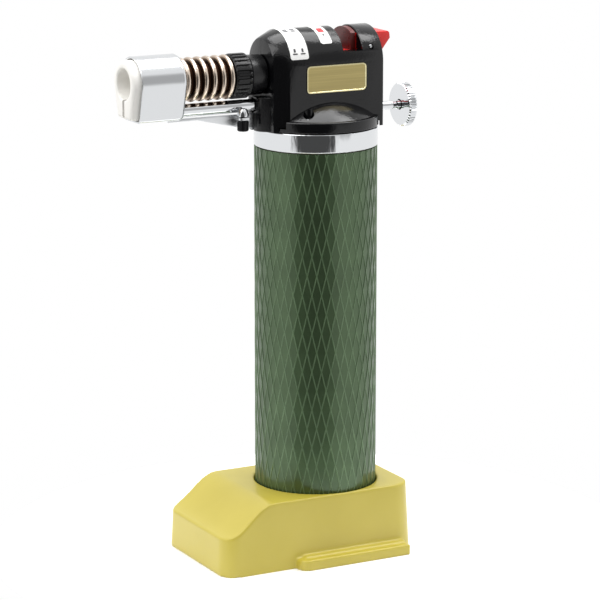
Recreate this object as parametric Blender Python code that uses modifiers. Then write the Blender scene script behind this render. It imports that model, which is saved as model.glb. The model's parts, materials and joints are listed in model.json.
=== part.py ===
"""Piezo butane micro torch on a moulded stand, as an assembly of separate pieces.

Frame: metres, +Z up. The tank's axis is Z, the nozzle points to -X and the name plate faces -Y.
The origin is on the tank's axis, on the surface that the stand rests on.
"""

import math

import bmesh
import bpy
from mathutils import Matrix
from mathutils import Vector

MM = 0.001

# Driving dimensions
TANK_RADIUS = 18.5 * MM
TORCH_TOP = 160.03 * MM
TORCH_FOOT = 2.4 * MM
STAND_HEIGHT = 21.1 * MM
GRIP_TOP = 124.6 * MM
COLLAR_TOP = 130.5 * MM
HEAD_RADIUS = 10.28 * MM
HEAD_AXIS = TORCH_TOP - HEAD_RADIUS
HEAD_FRONT = -18.4 * MM
HEAD_REAR = 17.5 * MM
BURNER_AXIS = 147.1 * MM
NOZZLE_TIP = -63.0 * MM
KNOB_AXIS = 134.6 * MM
ELECTRODE_AXIS = 138.1 * MM
BUTTON_TRAVEL = 4.3 * MM

FINE_STEPS = 40
ROUND_STEPS = 24
SMALL_STEPS = 12


def clear_scene():
    for obj in list(bpy.data.objects):
        bpy.data.objects.remove(obj, do_unlink=True)


def new_collection(name):
    collection = bpy.data.collections.new(name)
    bpy.context.scene.collection.children.link(collection)
    return collection


clear_scene()
PARTS = new_collection("butane_torch")
CUTTERS = new_collection("cutters")


def finish(name, colour, roughness, metallic=0.0):
    """A Principled material in one linear colour."""
    material = bpy.data.materials.new(name)
    material.use_nodes = True
    shader = material.node_tree.nodes["Principled BSDF"]
    shader.inputs["Base Color"].default_value = (*colour, 1.0)
    shader.inputs["Roughness"].default_value = roughness
    shader.inputs["Metallic"].default_value = metallic
    return material


OLIVE_ABS = finish("olive_abs", (0.52, 0.44, 0.07), 0.45)
GREEN_PAINT = finish("green_paint", (0.05, 0.11, 0.05), 0.45)
BLACK_ABS = finish("black_abs", (0.012, 0.012, 0.014), 0.25)
RED_ABS = finish("red_abs", (0.65, 0.02, 0.02), 0.3)
CHROME = finish("chrome", (0.85, 0.86, 0.87), 0.1, 1.0)
STEEL = finish("steel", (0.55, 0.56, 0.57), 0.3, 1.0)
BLACK_STEEL = finish("black_steel", (0.03, 0.03, 0.03), 0.4, 1.0)
NICKEL = finish("nickel", (0.62, 0.55, 0.48), 0.25, 1.0)
BRASS = finish("brass", (0.75, 0.55, 0.25), 0.3, 1.0)
CERAMIC = finish("ceramic", (0.85, 0.84, 0.8), 0.6)
RUBBER = finish("rubber", (0.02, 0.02, 0.02), 0.8)
NYLON = finish("nylon", (0.7, 0.68, 0.6), 0.5)
FELT = finish("felt", (0.8, 0.78, 0.7), 0.9)
PAPER = finish("paper", (0.85, 0.85, 0.85), 0.5)


def add_object(name, mesh, material):
    """Put a mesh in the scene as a part, or as a cutter where it has no material."""
    obj = bpy.data.objects.new(name, mesh)
    if material is None:
        CUTTERS.objects.link(obj)
        obj.hide_render = True
        obj.display_type = "WIRE"
        return obj
    PARTS.objects.link(obj)
    mesh.materials.append(material)
    return obj


def smooth(mesh):
    mesh.shade_smooth()
    mesh.set_sharp_from_angle(angle=math.radians(35))


AXIS_TURN = {
    "X": (0.0, math.pi / 2, 0.0),
    "Y": (-math.pi / 2, 0.0, 0.0),
    "Z": (0.0, 0.0, 0.0),
}


def turned(name, profile, material, axis="Z", at=(0, 0, 0), steps=ROUND_STEPS, closed=False):
    """Turn (radius, height) points in millimetres, listed down the outer side, about an axis."""
    points = [(radius * MM, 0.0, height * MM) for radius, height in profile]
    edges = [(i, i + 1) for i in range(len(points) - 1)]
    if closed:
        edges.append((len(points) - 1, 0))
    mesh = bpy.data.meshes.new(name)
    mesh.from_pydata(points, edges, [])
    obj = add_object(name, mesh, material)
    obj.location = at
    obj.rotation_euler = AXIS_TURN[axis]
    screw = obj.modifiers.new("turn", "SCREW")
    screw.steps = steps
    screw.render_steps = steps
    screw.use_merge_vertices = True
    screw.merge_threshold = 0.01 * MM
    return obj


def box(name, low, high, material=None, edge=0.0):
    """A box between two corners in millimetres, its edges rounded where edge is given."""
    low = Vector(low) * MM
    high = Vector(high) * MM
    bm = bmesh.new()
    size = Matrix.Diagonal((*(high - low), 1.0))
    bmesh.ops.create_cube(bm, size=1.0, matrix=Matrix.Translation((low + high) / 2) @ size)
    mesh = bpy.data.meshes.new(name)
    bm.to_mesh(mesh)
    bm.free()
    obj = add_object(name, mesh, material)
    if edge:
        round_edges(obj, edge)
    return obj


def round_edges(obj, width, segments=2, angle=35):
    bevel = obj.modifiers.new("round", "BEVEL")
    bevel.width = width * MM
    bevel.segments = segments
    bevel.limit_method = "ANGLE"
    bevel.angle_limit = math.radians(angle)


def rod(name, radius, low, high, axis, at, material=None, steps=SMALL_STEPS):
    """A cylinder of radius between two heights on an axis through a point, in millimetres."""
    profile = [(0, high), (radius, high), (radius, low), (0, low)]
    return turned(name, profile, material, axis, Vector(at) * MM, steps)


PRISM_FRAME = {
    "X": Matrix(((0, 0, 1, 0), (1, 0, 0, 0), (0, 1, 0, 0), (0, 0, 0, 1))),
    "Y": Matrix(((1, 0, 0, 0), (0, 0, -1, 0), (0, 1, 0, 0), (0, 0, 0, 1))),
    "Z": Matrix.Identity(4),
}


def prism(name, outline, low, high, axis, material=None):
    """Extrude an outline in millimetres: (y, z) along X, (x, z) along Y or (x, y) along Z."""
    curve = bpy.data.curves.new(name, "CURVE")
    curve.dimensions = "2D"
    curve.fill_mode = "BOTH"
    curve.extrude = (high - low) / 2 * MM
    spline = curve.splines.new("POLY")
    spline.points.add(len(outline) - 1)
    for point, (a, b) in zip(spline.points, outline):
        point.co = (a * MM, b * MM, 0.0, 1.0)
    spline.use_cyclic_u = True
    guide = bpy.data.objects.new(name + "_outline", curve)
    CUTTERS.objects.link(guide)
    mesh = bpy.data.meshes.new_from_object(guide.evaluated_get(bpy.context.evaluated_depsgraph_get()))
    bpy.data.objects.remove(guide, do_unlink=True)
    middle = Vector()
    middle["XYZ".index(axis)] = (low + high) / 2 * MM
    bm = bmesh.new()
    bm.from_mesh(mesh)
    bmesh.ops.remove_doubles(bm, verts=bm.verts, dist=0.001 * MM)
    bmesh.ops.transform(bm, matrix=Matrix.Translation(middle) @ PRISM_FRAME[axis], verts=bm.verts)
    bmesh.ops.recalc_face_normals(bm, faces=bm.faces)
    bm.to_mesh(mesh)
    bm.free()
    mesh.name = name
    return add_object(name, mesh, material)


def tube(name, route, radius, material):
    """A round wire or tube along points in millimetres."""
    curve = bpy.data.curves.new(name, "CURVE")
    curve.dimensions = "3D"
    curve.bevel_depth = radius * MM
    curve.bevel_resolution = 1
    curve.use_fill_caps = True
    spline = curve.splines.new("POLY")
    spline.points.add(len(route) - 1)
    for point, place in zip(spline.points, route):
        point.co = (*(Vector(place) * MM), 1.0)
    obj = bpy.data.objects.new(name, curve)
    PARTS.objects.link(obj)
    curve.materials.append(material)
    return obj


def bent(corners, spans=5):
    """A smooth route through corner points, by Catmull-Rom spans."""
    points = [Vector(corner) for corner in corners]
    points = [2 * points[0] - points[1], *points, 2 * points[-1] - points[-2]]
    route = []
    for before, start, end, after in zip(points, points[1:], points[2:], points[3:]):
        for step in range(spans):
            t = step / spans
            route.append(
                start
                + 0.5 * t * (end - before)
                + t * t * (before - 2.5 * start + 2 * end - 0.5 * after)
                + 0.5 * t**3 * (3 * start - before - 3 * end + after)
            )
    return [*route, points[-2]]


def combine(obj, other, operation):
    boolean = obj.modifiers.new(other.name, "BOOLEAN")
    boolean.operation = operation
    boolean.object = other
    return obj


def cut(obj, *cutters):
    for cutter in cutters:
        combine(obj, cutter, "DIFFERENCE")
    return obj


def join(obj, *others):
    for other in others:
        combine(obj, other, "UNION")
    return obj


def cut_together(obj, cutters):
    """Cut many shapes away at once, which stays exact where they meet each other."""
    group = bpy.data.collections.new(obj.name + "_cutters")
    CUTTERS.children.link(group)
    for cutter in cutters:
        group.objects.link(cutter)
        CUTTERS.objects.unlink(cutter)
    boolean = obj.modifiers.new(group.name, "BOOLEAN")
    boolean.operation = "DIFFERENCE"
    boolean.operand_type = "COLLECTION"
    boolean.collection = group
    return obj


def settle(obj):
    """Apply a cutter's own modifiers and weld its corners, so that it cuts cleanly."""
    mesh = bpy.data.meshes.new_from_object(obj.evaluated_get(bpy.context.evaluated_depsgraph_get()))
    bm = bmesh.new()
    bm.from_mesh(mesh)
    bmesh.ops.remove_doubles(bm, verts=bm.verts, dist=0.001 * MM)
    bmesh.ops.dissolve_degenerate(bm, dist=0.001 * MM, edges=bm.edges)
    bm.to_mesh(mesh)
    bm.free()
    obj.modifiers.clear()
    obj.data = mesh
    return obj


def arc(radius, start, end, centre=(0, 0), steps=8):
    """Points in millimetres round a centre, between two angles in degrees."""
    angles = [math.radians(start + (end - start) * i / steps) for i in range(steps + 1)]
    return [(centre[0] + radius * math.cos(a), centre[1] + radius * math.sin(a)) for a in angles]


def rounded_rectangle(low, high, radii, steps=5):
    """An outline whose corner radii go from the low-low corner anticlockwise."""
    (x0, y0), (x1, y1) = low, high
    r0, r1, r2, r3 = radii
    return [
        *arc(r0, 180, 270, (x0 + r0, y0 + r0), steps),
        *arc(r1, 270, 360, (x1 - r1, y0 + r1), steps),
        *arc(r2, 0, 90, (x1 - r2, y1 - r2), steps),
        *arc(r3, 90, 180, (x0 + r3, y1 - r3), steps),
    ]


def mm(length):
    return length / MM


# Stand

STAND_FRONT, STAND_BACK, STAND_HALF = -41.3, 24.2, 20.7
SOCKET_RADIUS, SOCKET_FLOOR = mm(TANK_RADIUS) + 0.3, 2.0
SLOPE_FOOT, SLOPE_TOP = (-41.0, 11.7), (-24.3, mm(STAND_HEIGHT))
DRAFT = 0.8 / mm(STAND_HEIGHT)


def slope_points(drop=0.0, inset=0.0):
    """The stand's front slope: a half cosine wave between the front wall and the top."""
    (x0, z0), (x1, z1) = SLOPE_FOOT, SLOPE_TOP
    steps = 10
    rise = [0.5 - 0.5 * math.cos(math.pi * i / steps) for i in range(steps + 1)]
    return [
        (x0 + inset + (x1 - x0) * i / steps, z0 - drop + (z1 - z0) * share)
        for i, share in enumerate(rise)
    ]


def stand_block(name, inset, foot, top, material=None):
    """The stand's drafted block, set in by a wall thickness, with its front sloped."""
    outline = rounded_rectangle(
        (STAND_FRONT + inset, -STAND_HALF + inset),
        (STAND_BACK - inset, STAND_HALF - inset),
        (5.1 - inset, 6.6 - inset, 6.6 - inset, 5.1 - inset),
    )
    block = prism(name, outline, foot, top, "Z", material)
    for vert in block.data.vertices:
        lean = DRAFT * vert.co.z
        vert.co.x -= math.copysign(lean, vert.co.x)
        vert.co.y -= math.copysign(lean, vert.co.y)
    above = [(-60, 40), (-60, SLOPE_FOOT[1] - inset), *slope_points(inset, inset), (-15, 40)]
    return cut(block, prism(name + "_slope", above, -40, 40, "Y"))


def make_stand():
    stand = stand_block("stand_base", 0.0, 0.0, mm(STAND_HEIGHT), OLIVE_ABS)
    for side in (-1, 1):
        near, far = sorted((side * 18.0, side * 25.0))
        radii = (3.0, 0.6, 0.4, 0.4) if side < 0 else (0.4, 0.4, 0.6, 3.0)
        foot = rounded_rectangle((-17.5, near), (19.6, far), radii, 4)
        join(stand, prism(f"foot_flange_{side}", foot, 0.0, 3.2, "Z"))
        near, far = sorted((side * 18.0, side * 22.4))
        join(stand, box(f"flange_step_{side}", (-15.2, near, 1.0), (19.2, far, 3.7)))
    hollow = stand_block("stand_hollow", 1.9, -1.0, mm(STAND_HEIGHT) - 1.9)
    cut(hollow, rod("cup", SOCKET_RADIUS + 1.8, -5, 40, "Z", (0, 0, 0), steps=FINE_STEPS))
    for i, y in enumerate((-6.2, 6.2)):
        cut(hollow, box(f"stand_rib_{i}", (-45, y - 0.7, -5), (30, y + 0.7, 40)))
    cut(stand, hollow)
    socket = rod("socket", SOCKET_RADIUS, SOCKET_FLOOR, 40, "Z", (0, 0, 0), steps=FINE_STEPS)
    return cut(stand, socket)


# Grip and tank

REFILL_LIFT = 1.5


def make_tank():
    foot = mm(TORCH_FOOT)
    grip = mm(TANK_RADIUS)
    turned(
        "tank_end_cap",
        [(3.4, foot + 3.8), (17.2, foot + 3.8), (17.2, foot + 1.8), (grip - 0.1, foot + 1.8),
         (grip - 0.1, foot + 0.4), (grip - 0.5, foot), (3.4, foot)],
        BLACK_ABS, steps=FINE_STEPS, closed=True,
    )
    turned(
        "grip_sleeve",
        [(grip - 0.9, mm(GRIP_TOP)), (grip, mm(GRIP_TOP)), (grip, foot + 2.1), (grip - 0.9, foot + 2.1)],
        GREEN_PAINT, steps=FINE_STEPS, closed=True,
    )
    tank = turned(
        "fuel_tank",
        [(4.4, 130.3), (16.5, 130.3), (16.5, 124.7), (17.3, 124.7), (17.3, 6.5), (5.3, 6.5),
         (5.3, 8.5), (14.3, 8.5), (15.3, 9.5), (15.3, 118.0), (14.3, 119.0), (4.4, 119.0)],
        NYLON, steps=ROUND_STEPS, closed=True,
    )
    cut(tank, rod("tank_seal_seat", 6.0, 128.6, 132, "Z", (0, 0, 0), steps=ROUND_STEPS))
    for i, (x, y) in enumerate(BASE_SCREWS):
        cut(tank, rod(f"tank_screw_hole_{i}", 1.15, 120.5, 135, "Z", (x, y, 0)))
    turned(
        "collar_ring",
        [(16.8, mm(COLLAR_TOP)), (18.4, mm(COLLAR_TOP)), (18.6, 130.2), (18.6, 125.2), (18.4, 124.9),
         (16.8, 124.9)],
        CHROME, steps=FINE_STEPS, closed=True,
    )
    rod("fuel_wick", 1.5, 17.5, 123.7, "Z", (0, 0, 0), FELT)
    turned(
        "tank_seal_ring",
        [(5.1 + a, 129.4 + b) for a, b in arc(0.6, 90, -210, steps=5)],
        RUBBER, closed=True, steps=ROUND_STEPS,
    )


def make_refill_valve():
    turned(
        "refill_valve_body",
        [(0.8, 15.0), (5.0, 15.0), (5.0, 6.8), (3.0, 6.8), (3.0, 3.2), (1.5, 3.2), (1.5, 8.2),
         (2.6, 8.2), (2.6, 14.2), (0.8, 14.2)],
        BRASS, closed=True, steps=SMALL_STEPS,
    )
    turned(
        "refill_valve_stem",
        [(0, 9.9), (2.2, 9.9), (2.2, 8.9), (1.1, 8.9), (1.1, 3.6), (0, 3.6)],
        BRASS, steps=SMALL_STEPS,
    )
    turned(
        "refill_valve_seal",
        [(1.35, 8.7), (2.4, 8.7), (2.4, 8.4), (1.35, 8.4)],
        RUBBER, closed=True, steps=SMALL_STEPS,
    )
    tube("refill_valve_spring", coil("Z", 10.4, 13.7, 1.8, 4, (0, 0)), 0.25, STEEL)


def coil(axis, low, high, radius, turns, centre, per_turn=8):
    """A helix in millimetres along an axis, round a centre given in the other two directions."""
    count = turns * per_turn
    route = []
    for i in range(count + 1):
        angle = 2 * math.pi * i / per_turn
        along = low + (high - low) * i / count
        a = centre[0] + radius * math.cos(angle)
        b = centre[1] + radius * math.sin(angle)
        route.append((along, a, b) if axis == "X" else (a, b, along))
    return route


# Head base

BASE_SCREWS = ((-8.9, -12.3), (8.9, 12.3))
FLANGE_RADIUS, FLANGE_FOOT, FLANGE_TOP, PLATE_TOP = 18.8, 130.8, 134.0, 131.8
DOME_RADIUS, DOME_CENTRE = 26.0, 114.93
WELL_HALF = mm(HEAD_RADIUS) + 0.3


def make_head_base():
    rim_angle = math.degrees(math.acos(17.7 / DOME_RADIUS))
    inner_angle = math.degrees(math.acos(9.0 / DOME_RADIUS))
    dome = arc(DOME_RADIUS, inner_angle, rim_angle, (0, DOME_CENTRE), steps=6)
    base = turned(
        "head_base",
        [*dome, (18.5, FLANGE_TOP), (FLANGE_RADIUS, FLANGE_TOP - 0.3), (FLANGE_RADIUS, FLANGE_FOOT),
         (4.4, FLANGE_FOOT), (4.4, PLATE_TOP), (9.0, PLATE_TOP)],
        BLACK_ABS, steps=FINE_STEPS, closed=True,
    )
    cut(base, box("head_well", (-30, -WELL_HALF, PLATE_TOP), (30, WELL_HALF, 150)))
    for i, (x, y) in enumerate(BASE_SCREWS):
        cut(base, rod(f"base_screw_hole_{i}", 1.15, 125, 140, "Z", (x, y, 0)))
        cut(base, rod(f"base_screw_well_{i}", 1.6, 133.2, 140, "Z", (x, y, 0)))
        head, tip = 134.7, 121.5
        screw = turned(
            f"head_base_screw_{i + 1}",
            [(0, head), (1.1, head), (1.35, head - 0.3), (1.35, head - 1.2), (0.85, head - 1.2),
             (0.85, tip + 0.8), (0, tip)],
            STEEL, at=(x * MM, y * MM, 0), steps=SMALL_STEPS,
        )
        cut(screw, cross_slot(f"base_screw_slot_{i}", head, "Z", (x, y)))


def cross_slot(name, face, axis, centre):
    """A cross recess 0.6 mm deep in a screw's head, at the end of an axis."""
    a, b = centre
    span, width, depth = 0.85, 0.22, 0.6
    low, high = face - depth, face + 1.0
    if axis == "Z":
        slot = box(name, (a - span, b - width, low), (a + span, b + width, high))
        other = box(name + "_across", (a - width, b - span, low), (a + width, b + span, high))
    else:
        slot = box(name, (a - span, low, b - width), (a + span, high, b + width))
        other = box(name + "_across", (a - width, low, b - span), (a + width, high, b + span))
    return join(slot, other)


# Head shells

NOTCH = (4.3, 10.8)
NOTCH_FLOOR = 153.4
SIDE_SCREWS = ((-16.2, 134.4, 6.0), (14.0, 140.2, 6.0), (-5.2, 156.3, 4.6))
STOP_PIN = (13.7, 154.3)
LEVER_PIVOT = (-8.0, 144.0)
PLATE_LOW, PLATE_HIGH = (-8.5, 141.7), (11.5, 149.9)
WARNING_LABEL = (-13.6, -7.6, -77, 30)
POSITION_LABEL = (-2.6, 1.2, -53, 20)
LABEL_OUT, LABEL_THICK = 0.1, 0.2
SPLIT_GAP = 0.32


def arch(half, foot, top_radius, steps=20):
    """An outline with straight sides and a round crown on the head's axis."""
    return [(-half, foot), (half, foot), *arc(top_radius, 0, 180, (0, mm(HEAD_AXIS)), steps)]


def head_form():
    """The whole head housing in one piece, before it is split along its middle."""
    axis = mm(HEAD_AXIS)
    radius = mm(HEAD_RADIUS)
    front, rear = mm(HEAD_FRONT), mm(HEAD_REAR)
    cone_back, taper = -14.0, 8.1 / radius
    form = prism("head_form", arch(radius, 130.8, radius), cone_back, rear, "X")
    bm = bmesh.new()
    bm.from_mesh(form.data)
    end = [face for face in bm.faces if face.normal.x < -0.9]
    grown = bmesh.ops.extrude_face_region(bm, geom=end)["geom"]
    for vert in grown:
        if isinstance(vert, bmesh.types.BMVert):
            vert.co.x = front * MM
            vert.co.y *= taper
            vert.co.z = min(vert.co.z, axis * MM + (vert.co.z - axis * MM) * taper)
    bmesh.ops.delete(bm, geom=end, context="FACES")
    bmesh.ops.recalc_face_normals(bm, faces=bm.faces)
    bm.to_mesh(form.data)
    bm.free()
    block = [(-21.2, -3.3), (-16.4, -8.1), (-13.0, -8.1), (-13.0, 8.1), (-16.4, 8.1), (-21.2, 3.3)]
    join(form, prism("head_block", block, 130.6, 140.8, "Z"))
    hollow = box("lower_hollow", (-14.2, -8.2, 125), (15.6, 8.2, 148.9))
    join(hollow, box("upper_hollow", (-13.9, -6.5, 142), (2.8, 6.5, NOTCH_FLOOR - 0.05)))
    join(hollow, box("ledge_hollow", (2.0, -6.45, 148), (11.1, 6.45, NOTCH_FLOOR + 0.2)))
    for i, (x, z, _) in enumerate(SIDE_SCREWS[:2]):
        cut(hollow, rod(f"screw_post_{i}", 2.2, -9, 9, "Y", (x, 0, z)))
    burner = (0, 0, mm(BURNER_AXIS))
    spaces = [
        hollow,
        box("notch", (NOTCH[0], -12, NOTCH_FLOOR), (NOTCH[1], 12, 170)),
        box("button_tunnel", (10.0, -5.35, 149.85), (20, 5.35, 158.35)),
        rod("flange_room", FLANGE_RADIUS + 0.3, 125, PLATE_TOP + 0.3, "Z", (0, 0, 0), steps=FINE_STEPS),
        rod("burner_seat", 4.3, -25, -14.8, "X", burner, steps=ROUND_STEPS),
        rod("jet_hole", 2.95, -16, -12.0, "X", burner, steps=24),
        rod("electrode_seat", 2.3, -25, -12.0, "X", (0, 0, mm(ELECTRODE_AXIS))),
        rod("spindle_hole", 1.7, 14, 20, "X", (0, 0, mm(KNOB_AXIS))),
        box("bracket_slot", (-25, -0.8, 129), (-18.7, 0.8, 135.8)),
        rod("stop_pin_hole", 0.85, -12, 12, "Y", (STOP_PIN[0], 0, STOP_PIN[1])),
        rod("lever_pin_hole", 1.05, -9.3, 9.3, "Y", (LEVER_PIVOT[0], 0, LEVER_PIVOT[1])),
    ]
    for i, (x, z, head) in enumerate(SIDE_SCREWS):
        tip = -7.4 if i < 2 else -6.2
        step = head - 0.3
        hole = [(0, 12), (2.0, 12), (2.0, step), (1.15, step), (1.15, tip), (0, tip)]
        at = (x * MM, 0, z * MM)
        spaces.append(turned(f"side_screw_hole_{i}", hole, None, axis="Y", at=at, steps=SMALL_STEPS))
    recess = rounded_rectangle(
        (PLATE_LOW[0] - 0.15, PLATE_LOW[1] - 0.15), (PLATE_HIGH[0] + 0.15, PLATE_HIGH[1] + 0.15), [1.4] * 4
    )
    spaces.append(prism("plate_recess", recess, -12, -9.6, "Y"))
    for i, label in enumerate((WARNING_LABEL, POSITION_LABEL)):
        spaces.append(label_band(f"label_recess_{i}", label, -0.5, 2.0, 0.15))
    cut_together(form, spaces)
    return settle(form)


def label_band(name, label, inner, outer, margin, material=None):
    """A curved band over the crown, between two radii measured from the head's surface."""
    low, high, start, end = label
    radius = mm(HEAD_RADIUS)
    spread = math.degrees(margin / radius)
    angles = (90 - start + spread, 90 - end - spread)
    centre = (0, mm(HEAD_AXIS))
    outline = [
        *arc(radius + outer, *(180 - angle for angle in angles), centre, steps=14),
        *reversed(arc(radius + inner, *(180 - angle for angle in angles), centre, steps=14)),
    ]
    return prism(name, outline, low - margin, high + margin, "X", material)


def make_head_shells():
    form = head_form()
    for name, side in (("head_shell_left", -1), ("head_shell_right", 1)):
        near, far = sorted((side * SPLIT_GAP / 2, side * 21.0))
        shell = box(name, (-30, near, 120), (30, far, 170), BLACK_ABS)
        combine(shell, form, "INTERSECT")
    for i, (x, z, head) in enumerate(SIDE_SCREWS):
        tip = -7.0 if i < 2 else -5.8
        screw = turned(
            f"head_shell_screw_{i + 1}",
            [(0, head + 1.3), (1.3, head + 1.3), (1.7, head + 0.9), (1.7, head), (0.85, head),
             (0.85, tip + 0.8), (0, tip)],
            STEEL, axis="Y", at=(x * MM, 0, z * MM), steps=SMALL_STEPS,
        )
        cut(screw, cross_slot(f"shell_screw_slot_{i}", head + 1.3, "Y", (x, z)))
    plate = rounded_rectangle(PLATE_LOW, PLATE_HIGH, [1.3] * 4)
    prism("name_plate", plate, -10.45, -9.9, "Y", BRASS)
    for name, label in (("warning_label", WARNING_LABEL), ("position_label", POSITION_LABEL)):
        label_band(name, label, LABEL_OUT - LABEL_THICK, LABEL_OUT, 0.0, PAPER)


# Ignition

BUTTON_FACE = (9.0, 10.5)
PLUNGER_AXIS = 150.4
LEDGE_FRONT = 4.5


def make_button():
    half, crown = 6.2, 9.9
    axis = mm(HEAD_AXIS)
    side = math.degrees(math.acos(half / crown))
    face = [(-half, 152.6), (half, 152.6), *arc(crown, side, 180 - side, (0, axis), 10)]
    button = prism("ignition_button", face, *BUTTON_FACE, "X", RED_ABS)
    wedge = [(10.3, 150.2), (18.2, 150.2), (20.0, 152.6), (22.6, 155.9), (22.4, 157.4), (21.9, 157.9),
             (10.3, 158.0)]
    join(button, prism("button_wedge", wedge, -5.0, 5.0, "Y"))
    join(button, box("button_ledge", (LEDGE_FRONT, -half, 149.2), (10.5, half, 153.1)))
    ramp = [(6.3, 149.5), (6.3, 145.2), (10.3, 143.1), (10.3, 149.5)]
    join(button, prism("button_ramp", ramp, -2.0, 2.0, "Y"))
    x, z = STOP_PIN
    reach = mm(BUTTON_TRAVEL)
    return cut(button, box("button_slot", (x - 0.95, -8, z - 0.95), (x + reach + 0.95, 8, z + 0.95)))


def make_ignition():
    make_button()
    x, z = STOP_PIN
    rod("button_stop_pin", 0.6, -9.1, 9.1, "Y", (x, 0, z), STEEL)
    tube("button_return_spring", coil("X", -2.0, 4.0, 2.5, 4, (0, PLUNGER_AXIS)), 0.2, STEEL)
    piezo = box("piezo_igniter", (-10.6, -4.6, 145.9), (-2.5, 4.6, 153.1), NYLON, 0.3)
    cut(piezo, rod("piezo_bore", 2.15, -10.0, 0, "X", (0, 0, PLUNGER_AXIS)))
    rod("piezo_plunger", 1.9, -5.0, 4.1, "X", (0, 0, PLUNGER_AXIS), STEEL)
    route = bent([(-10.95, 3.0, 149.8), (-12.3, 3.4, 149.2), (-12.9, 3.7, 146.5), (-12.6, 3.3, 142.5),
                  (-13.6, 1.6, 139.3), (-16.5, 0, 138.1), (-19.0, 0, 138.1), (-21.3, 0, 138.1)])
    tube("ignition_wire", route, 0.55, RUBBER)
    route = bent([(-21.8, 0, 138.1), (-40.0, 0, 138.1), (-56.0, 0, 138.1), (-59.6, 0, 138.3),
                  (-61.4, 0, 139.8), (-61.7, 0, 142.0)], 4)
    tube("electrode_rod", route, 0.4, STEEL)
    turned(
        "electrode_tube",
        [(1.1, -17.5), (1.95, -17.5), (1.95, -45.4), (1.1, -45.4)],
        CHROME, axis="X", at=(0, 0, ELECTRODE_AXIS), closed=True, steps=SMALL_STEPS,
    )


# Gas path

def make_gas_valve():
    body = turned(
        "gas_valve_body",
        [(0, 136.5), (1.4, 136.5), (1.4, 140.5), (5.2, 140.5), (5.5, 140.2), (5.5, 132.2), (4.0, 132.2),
         (4.0, 118.2), (1.9, 118.2), (1.9, 124.0), (0, 124.0)],
        BRASS, steps=SMALL_STEPS,
    )
    knob = (0, 0, mm(KNOB_AXIS))
    join(body, rod("valve_boss", 2.4, 3.0, 12.0, "X", knob))
    bore = [(0, 14.5), (1.95, 14.5), (1.95, 10.4), (1.2, 10.4), (1.2, 2.0), (0, 2.0)]
    cut(body, turned("needle_bore", bore, None, axis="X", at=(0, 0, KNOB_AXIS), steps=SMALL_STEPS))
    turned(
        "needle_seal_ring",
        [(1.5 + a, 11.2 + b) for a, b in arc(0.35, 90, -210, steps=5)],
        RUBBER, axis="X", at=(0, 0, KNOB_AXIS), closed=True, steps=SMALL_STEPS,
    )
    turned(
        "gas_needle",
        [(0, 31.0), (1.35, 31.0), (1.35, 13.5), (0.85, 13.2), (0.85, 4.6), (0, 2.6)],
        BRASS, axis="X", at=(0, 0, KNOB_AXIS), steps=SMALL_STEPS,
    )
    turned(
        "gas_knob",
        [(0, 31.7), (6.2, 31.7), (6.7, 31.3), (6.7, 29.2), (6.3, 28.8), (1.65, 28.8), (1.65, 31.3), (0, 31.3)],
        CHROME, axis="X", at=(0, 0, KNOB_AXIS),
    )
    rod("gas_valve_stem", 1.1, 138.0, 143.1, "Z", (0, 0, 0), BRASS)
    x, z = LEVER_PIVOT
    lever = rod("valve_lever", 1.5, -2.4, 2.4, "Y", (x, 0, z), STEEL)
    join(lever, box("lever_arm", (x, -2.2, 143.4), (6.0, 2.2, 144.6)))
    cut(lever, rod("lever_bore", 1.05, -5, 5, "Y", (x, 0, z)))
    rod("lever_pin", 0.8, -9.0, 9.0, "Y", (x, 0, z), STEEL)
    route = bent([(-5.9, 0, 137.6), (-8.4, 0, 137.7), (-10.6, 0, 139.2), (-11.5, 0, 142.2),
                  (-12.0, 0, 144.8), (-13.0, 0, 146.6), (-14.4, 0, 147.1), (-16.2, 0, 147.1)], 4)
    tube("gas_feed_tube", route, 0.85, BRASS)


# Burner

FIN_COUNT, FIN_PITCH, FIN_WIDTH = 6, 2.86, 1.4
FIN_FRONT, FIN_RADIUS, FIN_ROOT = -45.5, 6.6, 4.9
BORE = 4.3


def make_burner():
    at = (0, 0, BURNER_AXIS)
    turned(
        "gas_jet",
        [(0, -17.4), (1.25, -16.8), (1.25, -14.6), (2.3, -14.6), (2.6, -14.9), (2.6, -17.0), (1.2, -18.6),
         (0, -18.6)],
        BRASS, axis="X", at=at, steps=SMALL_STEPS,
    )
    pipe = turned(
        "burner_tube",
        [(3.2, -15.1), (4.0, -15.1), (4.0, -54.0), (3.2, -54.0)],
        STEEL, axis="X", at=at, closed=True,
    )
    x, z = -22.0, mm(BURNER_AXIS)
    cut(pipe, rod("tube_air_hole_across", 1.0, -6, 6, "Y", (x, 0, z)))
    cut(pipe, rod("tube_air_hole_down", 1.0, z - 6, z + 6, "Z", (x, 0, 0)))
    fins = []
    for i in reversed(range(FIN_COUNT)):
        low = FIN_FRONT + i * FIN_PITCH
        fins += [(FIN_ROOT, low + FIN_WIDTH), (FIN_RADIUS, low + FIN_WIDTH), (FIN_RADIUS, low), (FIN_ROOT, low)]
    outer = [(BORE, fins[0][1]), *fins[1:-1], (BORE, fins[-1][1])]
    turned("cooling_fins", outer, NICKEL, axis="X", at=at, closed=True)
    sleeve = turned(
        "air_sleeve",
        [(BORE, -18.7), (5.8, -18.7), (6.0, -19.0), (6.0, -23.8), (6.7, -24.1), (6.7, -29.1), (6.4, -29.4),
         (BORE, -29.4)],
        BLACK_ABS, axis="X", at=at, closed=True,
    )
    cut(sleeve, rod("sleeve_air_hole_across", 1.1, 0, 9, "Y", (x, 0, z)))
    cut(sleeve, rod("sleeve_air_hole_down", 1.1, z - 9, z, "Z", (x, 0, 0)))
    make_nozzle()


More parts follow.
